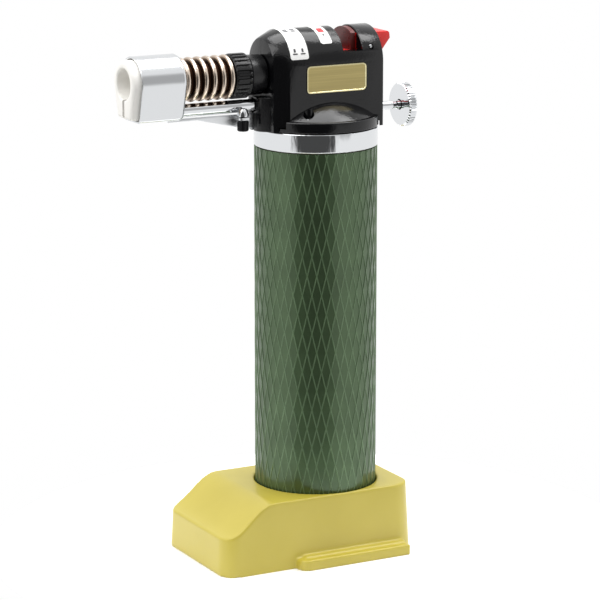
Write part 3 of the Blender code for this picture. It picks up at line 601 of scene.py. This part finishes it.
def head_cuts():
    """Every space in the housing, as bmeshes to cut away."""
    igniter_bay = block((-13.9, -6.5, 142), (2.8, 6.5, NOTCH_FLOOR - 0.05))
    button_bay = block((2.0, -6.45, 148), (11.1, 6.45, NOTCH_FLOOR + 0.2))
    posts = [rod(2.2, -9, 9, 32, "Y", (screw.x, 0, screw.z)) for screw in SIDE_SCREWS[:2]]
    bays = [("UNION", igniter_bay), ("UNION", button_bay), *(("DIFFERENCE", post) for post in posts)]
    inner = shaped(block((-14.2, -8.2, 125), (15.6, 8.2, 148.9)), bays)
    notch = block((NOTCH[0], -12, NOTCH_FLOOR), (NOTCH[1], 12, 170))
    wedge_way = block((10.0, -5.35, 149.85), (20, 5.35, 158.35))
    flange_room = rod(rim + 0.3, 125, 132.1, 128)
    sleeve_seat = rod(4.3, -25, -14.8, 48, "X", (0, 0, BURNER_Z))
    burner_way = rod(2.95, -16, -12.0, 32, "X", (0, 0, BURNER_Z))
    tube_way = rod(2.3, -25, -12.0, 32, "X", (0, 0, TUBE_Z))
    spindle_way = rod(1.7, 14, 20, 32, "X", (0, 0, KNOB_Z))
    bracket_slit = block((-25, -0.8, 129), (-18.7, 0.8, 135.8))
    pin_hole = rod(0.85, -12, 12, 24, "Y", (PIN.x, 0, PIN.z))
    lever_pin_hole = rod(1.05, -9.3, 9.3, 24, "Y", (-8, 0, 144))
    cuts = [inner, notch, wedge_way, flange_room, sleeve_seat, burner_way, tube_way, spindle_way,
            bracket_slit, pin_hole, lever_pin_hole]
    for screw, head, tip in zip(SIDE_SCREWS, (5.7, 5.7, 4.3), (-7.4, -7.4, -6.2)):
        hole = [(0, 12), (2.0, 12), (2.0, head), (1.15, head), (1.15, tip), (0, tip)]
        cuts.append(turned(hole, 32, "Y", (screw.x, 0, screw.z)))
    recess = block((PLATE[0].x - PLATE_GAP, -12, PLATE[0].z - PLATE_GAP),
                   (PLATE[1].x + PLATE_GAP, -9.6, PLATE[1].z + PLATE_GAP))
    corners = [e for e in recess.edges if abs(e.verts[0].co.y - e.verts[1].co.y) > 1 * MM]
    round_off(recess, corners, 1.4, 5)
    return [*cuts, recess, *(groove(place) for place in NOTCH)]


form = shaped(head_solid(), [("UNION", head_block()), *(("DIFFERENCE", cut) for cut in head_cuts())])
for name, side in (("left", -1), ("right", 1)):
    half = form.copy()
    bmesh.ops.bisect_plane(half, geom=[*half.verts, *half.edges, *half.faces], dist=0.0001 * MM,
                           plane_co=(0, side * 0.06 * MM, 0), plane_no=(0, -side, 0), clear_outer=True)
    bmesh.ops.triangle_fill(half, edges=[e for e in half.edges if e.is_boundary], use_beauty=True)
    bmesh.ops.recalc_face_normals(half, faces=half.faces)
    piece(half, f"head_housing_{name}", "torch", [f"head_shell_{name}"], "black_abs", BLACK, sharp=30)
form.free()


# Name plate: a stamped brass plate, left plain, with a raised bright edge round a satin field.

def satin_brass(name, code, roughness, lines):
    """Brushed and lacquered brass: lines 25 mm long and 0.4 mm apart stretch the highlight.

    The brush leaves finer lines than that, and they are drawn wider so that they show.
    """
    made, tree, shader = material(name)
    dress(shader, metallic=1.0, roughness=roughness)
    brush = noise(tree, 1000, 2.0, (40.0, 900.0, 2400.0))
    relief(tree, shader, brush, lines, 0.04)
    mottled(tree, shader, brush, code, 0.9, 1.08)
    return made


PLATE_FIELD = satin_brass("brushed brass, lacquered", "#b5a671", 0.36, 0.3)
PLATE_EDGE = satin_brass("polished brass edge", "#ece2b4", 0.2, 0.05)
bm = block(PLATE[0], PLATE[1])
round_off(bm, [e for e in bm.edges if abs(e.verts[0].co.y - e.verts[1].co.y) > 0.3 * MM], 1.3, 6)
face = min(bm.faces, key=lambda f: f.calc_center_median().y)
round_off(bm, list(face.edges), 0.12, 2)
face = min(bm.faces, key=lambda f: (round(f.calc_center_median().y, 6), -f.calc_area()))
for item in bm.faces:
    item.material_index = 1
RIM_WIDE, RIM_SLOPE, FIELD_DEEP = 0.28, 0.06, 0.07
bmesh.ops.inset_individual(bm, faces=[face], thickness=RIM_WIDE * MM)
bmesh.ops.inset_individual(bm, faces=[face], thickness=RIM_SLOPE * MM, depth=-FIELD_DEEP * MM)
face.material_index = 0
piece(bm, "brass_plate", "torch", ["name_plate"], "brass_plate", PLATE_FIELD, PLATE_EDGE, sharp=25)


# Labels: two white film labels wrapped over the crown, printed with plain marks of no meaning.

def print_film(name, code):
    """Vinyl film or its ink: flat in colour with a faint mottle, drawn at 0.7 mm to show."""
    made, tree, shader = material(name)
    dress(shader, roughness=0.42)
    mottled(tree, shader, noise(tree, 0.66667, 3.0), code, 0.94, 1.04)
    return made


FILM_THICK = 0.06


def wrapped(name, low, high, start, end, corner, lift, skin, nodes=()):
    """A thin film bent over the crown, from x low to high and round from start to end degrees."""
    length = math.radians(end - start) * CROWN
    bm = bmesh.new()
    bmesh.ops.create_grid(bm, x_segments=1, y_segments=1, size=0.5)
    bmesh.ops.scale(bm, vec=((high - low) * MM, length * MM, 1), verts=bm.verts)
    bmesh.ops.bevel(bm, geom=list(bm.verts), offset=corner * MM, affect="VERTICES", segments=5,
                    profile=0.5, material=-1)
    count = max(2, round(length / 0.4))
    for i in range(1, count):
        bmesh.ops.bisect_plane(bm, geom=[*bm.verts, *bm.edges, *bm.faces], dist=0.001 * MM,
                               plane_co=(0, (i / count - 0.5) * length * MM, 0), plane_no=(0, 1, 0))
    grown = bmesh.ops.extrude_face_region(bm, geom=list(bm.faces))["geom"]
    bmesh.ops.translate(bm, verts=only(bmesh.types.BMVert, grown), vec=(0, 0, FILM_THICK * MM))
    middle = math.radians(start + end) / 2
    for vert in bm.verts:
        angle = middle + vert.co.y / (CROWN * MM)
        reach = (CROWN + lift) * MM + vert.co.z
        place = (low + high) / 2 * MM + vert.co.x
        vert.co = (place, reach * math.sin(angle), AXIS * MM + reach * math.cos(angle))
    bmesh.ops.recalc_face_normals(bm, faces=bm.faces)
    piece(bm, name, "torch", nodes, "label", skin)


WHITE_FILM = print_film("white vinyl film", "#f4f4f2")
GREY_INK = print_film("grey ink", "#68686c")
BLACK_INK = print_film("black ink", "#3a3a3d")
RED_INK = print_film("red ink", "#c9262c")
ON_SHELL, ON_FILM, MARK_WIDE = 0.02, 0.09, 1.5
wide_label, slim_label = packed("warning_label"), packed("position_label")
for name, label, start, end, node in (("wide_label", wide_label, -77, 30, "warning_label"),
                                      ("slim_label", slim_label, -53, 20, "position_label")):
    wrapped(name, label[0].x, label[1].x, start, end, 0.7, ON_SHELL, WHITE_FILM, [node])
x = wide_label[0].x
for i, (near, low, high) in enumerate(((1.0, -14, -8), (1.0, -20, -16), (3.5, -14, -8), (3.5, -20, -16))):
    wrapped(f"grey_mark_{i}", x + near, x + near + MARK_WIDE, low, high, 0.1, ON_FILM, GREY_INK)
for i, near in enumerate((0.9, 3.5)):
    wrapped(f"dark_bar_{i}", x + near, x + near + MARK_WIDE, -68.5, -66.5, 0.1, ON_FILM, BLACK_INK)
    wrapped(f"dark_mark_{i}", x + near + 0.45, x + near + 1.05, -64.5, -58.5, 0.1, ON_FILM, BLACK_INK)
x = slim_label[0].x
wrapped("red_mark", x + 0.9, x + 2.9, -27, -14, 0.3, ON_FILM, RED_INK)
wrapped("dark_dot", x + 1.6, x + 2.3, -36.5, -32.7, 0.34, ON_FILM, BLACK_INK)
wrapped("dark_edge_line", x + 3.75, x + 4.05, -46, 18, 0.1, ON_SHELL, BLACK_INK)


# Ignition button: one red ABS moulding. Its thumb wedge stands out behind the head, and its face and ledge
# fill the notch in the crown. The face above the ledge is painted a darker red, as painted shade down in
# the notch.

def red_abs(name, code):
    """Glossy pigmented ABS: a strong red that lets a little light in, with a 1.4 mm flow ripple."""
    made, tree, shader = material(name)
    dress(shader, base_color=linear(code), subsurface_weight=0.08, subsurface_scale=0.001)
    ripple = noise(tree, 1.42857, 2.0)
    relief(tree, shader, ripple, 0.1, 0.06)
    worn(tree, shader, ripple, 0.26, 0.36)
    return made


RED = red_abs("red ABS, polished tool", "#d9231f")
# A darker copy of the same red: painted shade for the face deep in the notch.
SHADED_NOTCH_RED = red_abs("red ABS, painted shade in the notch", "#5a100c")
button = packed("ignition_button")
half, crown, ledge_top = 5.2, 9.9, 153.1
side = math.degrees(math.acos(half / crown))
outline = [(-half, 152.6), (half, 152.6), *arc(crown, side, 180 - side, (0, AXIS), 24)]
face = extruded(outline, 9.0, 10.5, "X")
wedge = extruded([(10.3, 150.2), (18.2, 150.2), (20.0, 152.6), (button[1].x, 155.9), (22.4, 157.5),
                  (21.9, 158.0), (10.3, 158.0)], -5.0, 5.0, "Y")
round_off(wedge, [e for e in wedge.edges if max(vert.co.x for vert in e.verts) > 15 * MM], 0.25, 2)
ledge = block((4.5, -half, 149.2), (10.5, half, ledge_top))
round_off(ledge, [e for e in ledge.edges if min(vert.co.x for vert in e.verts) < 5 * MM], 0.3, 2)
ramp = extruded([(6.3, 149.5), (6.3, 145.2), (10.3, 143.1), (10.3, 149.5)], -2.0, 2.0, "Y")
PIN_ROOM, TRAVEL = 0.95, 4.3
slot = block((PIN.x - PIN_ROOM, -8, PIN.z - PIN_ROOM), (PIN.x + TRAVEL + PIN_ROOM, 8, PIN.z + PIN_ROOM))
bm = shaped(face, [("UNION", wedge), ("UNION", ledge), ("UNION", ramp), ("DIFFERENCE", slot)])
# The faces above the ledge, down in the notch, take the dark red: painted shade.
for item in bm.faces:
    middle = item.calc_center_median()
    if middle.x < 10.4 * MM and middle.z > (ledge_top + 0.1) * MM:
        item.material_index = 1
piece(bm, "thumb_button", "button", ["ignition_button"], "red_abs", RED, SHADED_NOTCH_RED, sharp=30)


# Stop pin and screws: plain bright steel, with the pin's domed end showing in the crown's side.

def bright_steel(name, code, roughness):
    """Drawn steel: a soft grey mirror with a 0.4 mm tooth, coarser than the real draw marks."""
    made, tree, shader = material(name)
    dress(shader, base_color=linear(code), metallic=1.0, roughness=roughness)
    relief(tree, shader, noise(tree, 0.4, 2.0), 0.15, 0.02)
    return made


STEEL = bright_steel("drawn steel", "#b6b8ba", 0.25)
near, far = (corner.y for corner in packed("button_stop_pin"))
FLAT, ROUNDED = 0.25, 0.35
profile = [(0, far), *arc(ROUNDED, 90, 0, (FLAT, far - ROUNDED), 4),
           *arc(ROUNDED, 0, -90, (FLAT, near + ROUNDED), 4), (0, near)]
piece(turned(profile, 32, "Y", (PIN.x, 0, PIN.z)), "stop_pin", "torch", ["button_stop_pin"], "steel", STEEL)


# Air sleeve: a black ABS ring that turns on the burner to meter the air. Its front is ribbed
# for the fingers, and two holes in its neck line up with those in the burner tube.

front, rear = (corner.x for corner in packed("air_sleeve"))
RIBS, RIB_DEEP, RIB_OUTER, SLEEVE_BORE = 24, 0.5, 6.7, 4.3
profile = [(SLEEVE_BORE, rear), (5.5, rear), *arc(0.4, 90, 0, (5.5, rear - 0.4), 3), (6.0, rear - 4.6),
           (6.1, rear - 5.0), (RIB_OUTER, rear - 5.6), (RIB_OUTER, rear - 6.4), (RIB_OUTER, rear - 8.0),
           (RIB_OUTER, front + 0.6), (6.45, front + 0.2), (6.2, front), (SLEEVE_BORE, front)]
bm = turned(profile, RIBS * 8, "X", (0, 0, BURNER_Z), ring=True)
for vert in bm.verts:
    spoke = Vector((0, vert.co.y, vert.co.z - BURNER_Z * MM))
    if spoke.length > (RIB_OUTER - 0.2) * MM and vert.co.x < (rear - 5.7) * MM:
        phase = math.atan2(spoke.z, spoke.y) / (2 * math.pi) * RIBS % 1.0
        if phase > 0.55:
            spoke *= 1 - RIB_DEEP * MM / spoke.length
            vert.co = (vert.co.x, spoke.y, BURNER_Z * MM + spoke.z)
AIR_HOLE, hole_place = 1.1, (rear - 3.3, 0, BURNER_Z)
holes = [rod(AIR_HOLE, 0, 9, 24, "Y", hole_place), rod(AIR_HOLE, -9, 0, 24, "Z", hole_place)]
bm = shaped(bm, [("DIFFERENCE", hole) for hole in holes])
SATIN_BLACK = black_abs("black ABS, satin", 0.3)
piece(bm, "ribbed_air_sleeve", "air_control", ["air_sleeve"], "black_abs", SATIN_BLACK, sharp=25)


# Cooling fins: a nickel-plated brass tube turned with six round-edged fins. The metal's colour runs from
# dark brown at the fin roots to bright at the crests.

fins = packed("cooling_fins")
front, crest = fins[0].x, fins[1].y
FIN_COUNT, FIN_WIDE, ROOT, FIN_BORE = 6, 1.4, 4.9, 4.3


def nickel_dark_at_roots():
    """Nickel over brass, darker towards the roots: warm bright crests, dark brown roots.

    The turning marks are drawn at half a millimetre, coarser than they are, so that they show.
    """
    made, tree, shader = material("nickel plate, dark brown at the fin roots")
    dress(shader, metallic=1.0)
    place = add(tree, "TexCoord").outputs["Object"]
    centred = add(tree, "Mapping", [(place, 0)], i1=(0, 0, -BURNER_Z * MM), i3=(0, 1, 1))
    radius = add(tree, "VectorMath", [(centred.outputs[0], 0)], operation="LENGTH")
    share = add(tree, "MapRange", [(radius.outputs["Value"], 0)], i1=(ROOT + 0.4) * MM, i2=6.5 * MM)
    tint = add(tree, "ValToRGB", [(share.outputs[0], 0)])
    tint.color_ramp.elements[0].color = linear("#3a271c")
    tint.color_ramp.elements[1].color = linear("#e0d0c0")
    tint.color_ramp.elements.new(0.45).color = linear("#97826f")
    tree.links.new(tint.outputs[0], shader.inputs["Base Color"])
    rough = add(tree, "MapRange", [(share.outputs[0], 0)], i3=0.5, i4=0.2)
    tree.links.new(rough.outputs[0], shader.inputs["Roughness"])
    relief(tree, shader, noise(tree, 0.55556, 2.0), 0.2, 0.03)
    return made


pitch = (fins[1].x - front - FIN_WIDE) / (FIN_COUNT - 1)
profile = []
for i in reversed(range(FIN_COUNT)):
    middle = front + i * pitch + FIN_WIDE / 2
    half = FIN_WIDE / 2
    if i < FIN_COUNT - 1:
        profile.append((ROOT, middle + half))
    profile += [(radius, height) for height, radius in arc(half, 0, 180, (middle, crest - half), 10)]
    if i:
        profile.append((ROOT, middle - half))
profile = [(FIN_BORE, fins[1].x), *profile, (FIN_BORE, front)]
piece(turned(profile, 96, "X", (0, 0, BURNER_Z), ring=True), "finned_tube", "torch", ["cooling_fins"],
      "nickel", nickel_dark_at_roots(), sharp=40)


# Flame shroud: stainless sheet drawn into a cap and bright chrome plated. It has a round crown,
# flat sides that lean in and a flat bottom, with its back edge rolled in to the burner tube.

shroud = packed("flame_shroud")
ROUND, BOTTOM, FOOT_HALF, CORNER = shroud[1].y, shroud[0].z, 5.7, 1.3


def straight(start, end, steps):
    """Points along a straight stretch, without its two ends."""
    return [(start[0] + (end[0] - start[0]) * i / steps, start[1] + (end[1] - start[1]) * i / steps)
            for i in range(1, steps)]


def hood(inset, rise=0.0):
    """The shroud's section: a round crown, sides that lean in and a flat bottom, raised or not."""
    corner = max(CORNER - inset / 2, 0.4)
    right = arc(corner, -90, -10, (FOOT_HALF - inset - corner, BOTTOM + max(inset, rise) + corner), 7)
    left = [(-y, z) for y, z in reversed(right)]
    crown = arc(ROUND - inset, -4, 184, (0, BURNER_Z), 60)
    return [*right, *straight(right[-1], crown[0], 12), *crown, *straight(crown[-1], left[0], 12), *left,
            *straight(left[-1], right[0], 16)]


def circle_like(outline, radius):
    """A circle on the burner's axis with a point for each point of an outline."""
    angles = [math.atan2(z - BURNER_Z, y) for y, z in outline]
    return [(radius * math.cos(a), BURNER_Z + radius * math.sin(a)) for a in angles]


def lofted(sections, hollow=True):
    """Bridge (x, outline) sections one after another. A hollow loft closes on its first one."""
    bm = bmesh.new()
    loops = []
    for x, outline in sections:
        ring = [bm.verts.new(Vector((x, y, z)) * MM) for y, z in outline]
        loops.append([bm.edges.new(pair) for pair in zip(ring, ring[1:] + ring[:1])])
    for one, other in zip(loops, loops[1:] + loops[:1] if hollow else loops[1:]):
        bmesh.ops.bridge_loops(bm, edges=one + other)
    if not hollow:
        bmesh.ops.holes_fill(bm, edges=bm.edges)
    return outward(bm)


SOFT_CHROME = chrome("bright chrome plate on drawn steel", 0.15, 0.25, (0.3, 1, 1), "#dfe1e3")
front, back = shroud[0].x, shroud[1].x
ROLL, HEEL, SHEET, EASE = 1.3, 2.2, 0.6, 0.15
roll = []
for a in range(0, 91, 10):
    x = back - HEEL + HEEL * math.sin(math.radians(a))
    share = max(0.0, (x - back + ROLL) / ROLL)
    tuck = ROLL * (1 - math.sqrt(1 - share * share))
    roll.append((x, hood(tuck, HEEL * (1 - math.cos(math.radians(a))))))
bore_ring = circle_like(hood(0), FIN_BORE)
inside = [(back - 0.7, bore_ring), (back - 0.7, hood(SHEET)), (front + EASE, hood(SHEET))]
lip = [(front, hood(SHEET - EASE)), (front, hood(EASE)), (front + EASE, hood(0))]
sections = [*inside, *lip, *roll, (back, bore_ring)]
piece(lofted(sections), "chrome_shroud", "torch", ["flame_shroud"], "chrome", SOFT_CHROME, sharp=20)


# Ceramic nozzle: slip-cast white alumina with a round mouth, and a slot below it that the
# spark electrode stands in. It is fired unglazed, so it is matt and bright.

def alumina():
    """Unglazed white ceramic: matt, chalk white and slightly warm, with a 0.7 mm fired grain."""
    made, tree, shader = material("unglazed alumina")
    dress(shader, base_color=linear("#f6f4ef"), specular_ior_level=0.35)
    grain = noise(tree, 0.71429, 4.0)
    relief(tree, shader, grain, 0.2, 0.04)
    worn(tree, shader, grain, 0.5, 0.68)
    return made


tip, back = (corner.x for corner in packed("ceramic_nozzle"))
MOUTH, EDGE, INSIDE, MOUTH_EASE = 4.65, 1.1, 0.95, 0.5
lip = []
for a in range(0, 91, 15):
    x, inset = tip + EDGE - EDGE * math.sin(math.radians(a)), EDGE - EDGE * math.cos(math.radians(a))
    lip.append((x, hood(INSIDE + inset)))
slot = block((tip - 5, -0.7, 137.35), (back + 5, 0.7, 143.5))
flare = [(MOUTH + MOUTH_EASE - r, tip + MOUTH_EASE - x) for r, x in arc(MOUTH_EASE, 0, 90, steps=5)]
mouth = turned([(0, back + 2), (MOUTH, back + 2), *flare, (MOUTH + MOUTH_EASE, tip - 2), (0, tip - 2)],
               96, "X", (0, 0, BURNER_Z))
nozzle = lofted([(back, hood(INSIDE)), *lip], hollow=False)
bm = shaped(nozzle, [("DIFFERENCE", mouth), ("DIFFERENCE", slot)])
ALUMINA = alumina()
piece(bm, "alumina_nozzle", "torch", ["ceramic_nozzle"], "ceramic", ALUMINA, sharp=30)


# Electrode tube: bright chrome on drawn brass tube, open at both ends, under the burner.

tube = packed("electrode_tube")
front, rear, outer, TUBE_BORE = tube[0].x, tube[1].x, tube[1].y, 1.1
profile = [(TUBE_BORE, rear), (outer, rear), (outer, front + EASE), (outer - EASE, front),
           (TUBE_BORE, front)]
bm = turned(profile, 48, "X", (0, 0, TUBE_Z), ring=True)
piece(bm, "bright_electrode_tube", "torch", ["electrode_tube"], "chrome", CHROME)


# Bracket screw and cone nut: a black oxide screw driven up through the bracket's tab into a
# small bright cone nut.

def black_oxide():
    """Black oxide on steel: near black with a dull oily glint, its bloom drawn at 0.6 mm to show."""
    made, tree, shader = material("black oxide steel")
    dress(shader, base_color=linear("#2a2a2c"), metallic=0.8, roughness=0.38)
    relief(tree, shader, noise(tree, 0.55556, 2.0), 0.25, 0.03)
    return made


def knurled(profile, teeth, depth, low, high, about="Z", centre=(0, 0, 0)):
    """A turned solid whose widest band, between two heights, is cut with straight teeth."""
    widest = max(radius for radius, _ in profile)
    bm = turned(profile, teeth * 4)
    for vert in bm.verts:
        spoke = Vector((vert.co.x, vert.co.y, 0))
        if spoke.length > (widest - 0.05) * MM and low * MM < vert.co.z < high * MM:
            phase = math.atan2(spoke.y, spoke.x) / (2 * math.pi) * teeth % 1.0
            if 0.4 < phase < 0.9:
                spoke *= 1 - depth * MM / spoke.length
                vert.co = (spoke.x, spoke.y, vert.co.z)
    return placed(bm, about, centre)


screw = packed("bracket_screw")
sx, sy = (screw[0].x + screw[1].x) / 2, (screw[0].y + screw[1].y) / 2
foot, top = screw[0].z, screw[1].z
SHANK, CAP, CAP_TOP, CHAMFER = 0.65, 1.7, 134.3, 0.3
profile = [(0, top), (SHANK, top), (SHANK, CAP_TOP), (CAP - CHAMFER, CAP_TOP), (CAP, CAP_TOP - CHAMFER),
           (CAP, foot + CHAMFER), (CAP - CHAMFER, foot), (0, foot)]
bm = knurled(profile, 16, 0.22, foot + 0.2, CAP_TOP - 0.2, centre=(sx, sy, 0))
socket = bmesh.new()
bmesh.ops.create_cone(socket, cap_ends=True, segments=6, radius1=0.8 * MM, radius2=0.8 * MM, depth=2 * MM,
                      matrix=Matrix.Translation(Vector((sx, sy, foot)) * MM))
bm = shaped(bm, [("DIFFERENCE", socket)])
piece(bm, "black_bracket_screw", "torch", ["bracket_screw"], "black_steel", black_oxide(), sharp=25)
foot, top = (corner.z for corner in packed("bracket_cone_nut"))
NUT_HOLE, NUT_FOOT = 0.95, 1.75
profile = [(NUT_HOLE, top), (1.1, top), (1.3, top - 0.25), (NUT_FOOT, 136.2), (NUT_FOOT, foot),
           (NUT_HOLE, foot)]
bm = turned(profile, 40, centre=(sx, sy, 0), ring=True)
piece(bm, "cone_nut", "torch", ["bracket_cone_nut"], "chrome", CHROME)


# Bracket: bright chrome on steel plate, folded into a gusset that braces the shroud, with a tab
# for the screw. Its edges are eased.

low, high = packed("shroud_bracket")
PLATE_HALF, TAB_HALF = 0.5, 1.9
gusset = extruded([(low.x, 134.9), (-39.5, 134.9), (-23.2, low.z), (high.x, low.z), (high.x, high.z),
                   (low.x, high.z)], -PLATE_HALF, PLATE_HALF, "Y")
round_off(gusset, list(gusset.edges), 0.12, 2)
tab = block((sx - TAB_HALF, sy - TAB_HALF, 134.6), (sx + TAB_HALF, -0.3, 135.3))
round_off(tab, [e for e in tab.edges if upright(e) and e.verts[0].co.y < -3 * MM], 1.0, 5)
bm = shaped(gusset, [("UNION", tab), ("DIFFERENCE", rod(1.0, 130, 140, 24, centre=(sx, sy, 0)))])
SATIN_CHROME = chrome("chrome plate on pressed steel", 0.38, 0.2)
piece(bm, "folded_bracket", "torch", ["shroud_bracket"], "chrome", SATIN_CHROME, sharp=25)


# Gas knob and needle: the knob is a chromed brass disc with a straight knurl, pressed on the
# valve needle's spindle.

knob = packed("gas_knob")
outer, near, far = knob[1].y, knob[0].x, knob[1].x
KNOB_TEETH, TOOTH_DEEP, KNOB_HOLE, KNOB_FLOOR = 44, 0.3, 1.65, 0.4
profile = [(0, far), (outer - 1.1, far), (outer - 0.75, far - 0.12), (outer, far - 0.55),
           (outer, near + 0.5), (outer - 0.45, near), (KNOB_HOLE, near), (KNOB_HOLE, far - KNOB_FLOOR),
           (0, far - KNOB_FLOOR)]
bm = knurled(profile, KNOB_TEETH, TOOTH_DEEP, near + 0.3, far - 0.3, "X", (0, 0, KNOB_Z))
piece(bm, "knurled_knob", "gas_control", ["gas_knob"], "chrome", CHROME, sharp=20)
tip, rear = (corner.x for corner in packed("gas_needle"))
SPINDLE, GROOVE, NEEDLE = 1.35, 1.05, 0.85
profile = [(0, rear), (SPINDLE, rear), (SPINDLE, 27.6), (GROOVE, 27.3), (GROOVE, 26.3), (SPINDLE, 26.0),
           (SPINDLE, 13.5), (NEEDLE, 13.2), (NEEDLE, 4.6), (0, tip)]
bm = turned(profile, 40, "X", (0, 0, KNOB_Z))
piece(bm, "knob_spindle", "gas_control", ["gas_needle"], "brass", CHROME)


# Inner pieces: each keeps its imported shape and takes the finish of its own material.

def plain(name, code, roughness, metallic=0.0, grain=1.1111, strength=0.15):
    """A plain finish with a fine grain in millimetres, for a piece inside the torch."""
    made, tree, shader = material(name)
    dress(shader, base_color=linear(code), roughness=roughness, metallic=metallic)
    relief(tree, shader, noise(tree, grain, 3.0), strength, 0.05)
    return made


FINISHES = {
    "black_abs": BLACK,
    "ceramic": ALUMINA,
    "chrome": CHROME,
    "steel": STEEL,
    "brass": plain("turned brass", "#d8b35c", 0.25, 1.0),
    "rubber": plain("nitrile rubber", "#1b1b1c", 0.75),
    "natural_nylon": plain("natural nylon", "#e6e0cc", 0.45),
    "felt": plain("felt wick", "#e5ddc8", 0.95, grain=0.4, strength=0.7),
}
slots = {entry["node"]: entry["material_slot"] for entry in frame["record"]["subparts"]}
for name, node in frame["nodes"].items():
    if slots[name] in FINISHES:
        node.data.materials.clear()
        node.data.materials.append(FINISHES[slots[name]])


# Springs: the imported coils are kept, as steel copies of their own on the torch.

PRESSED = (("button_return_spring", "button_push", (1, 0, 0), (-0.002, 0, 0), 0.28),
           ("refill_valve_spring", "refill_press", (0, 0, 1), (0, 0, 0.0137), 0.55))
for name, joint, axis, anchor, keep in PRESSED:
    bm = bmesh.new()
    bm.from_mesh(frame["nodes"][name].data)
    coil = piece(bm, f"coiled_{name}", "torch", [name], "steel", STEEL, sharp=60)
    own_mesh(coil)
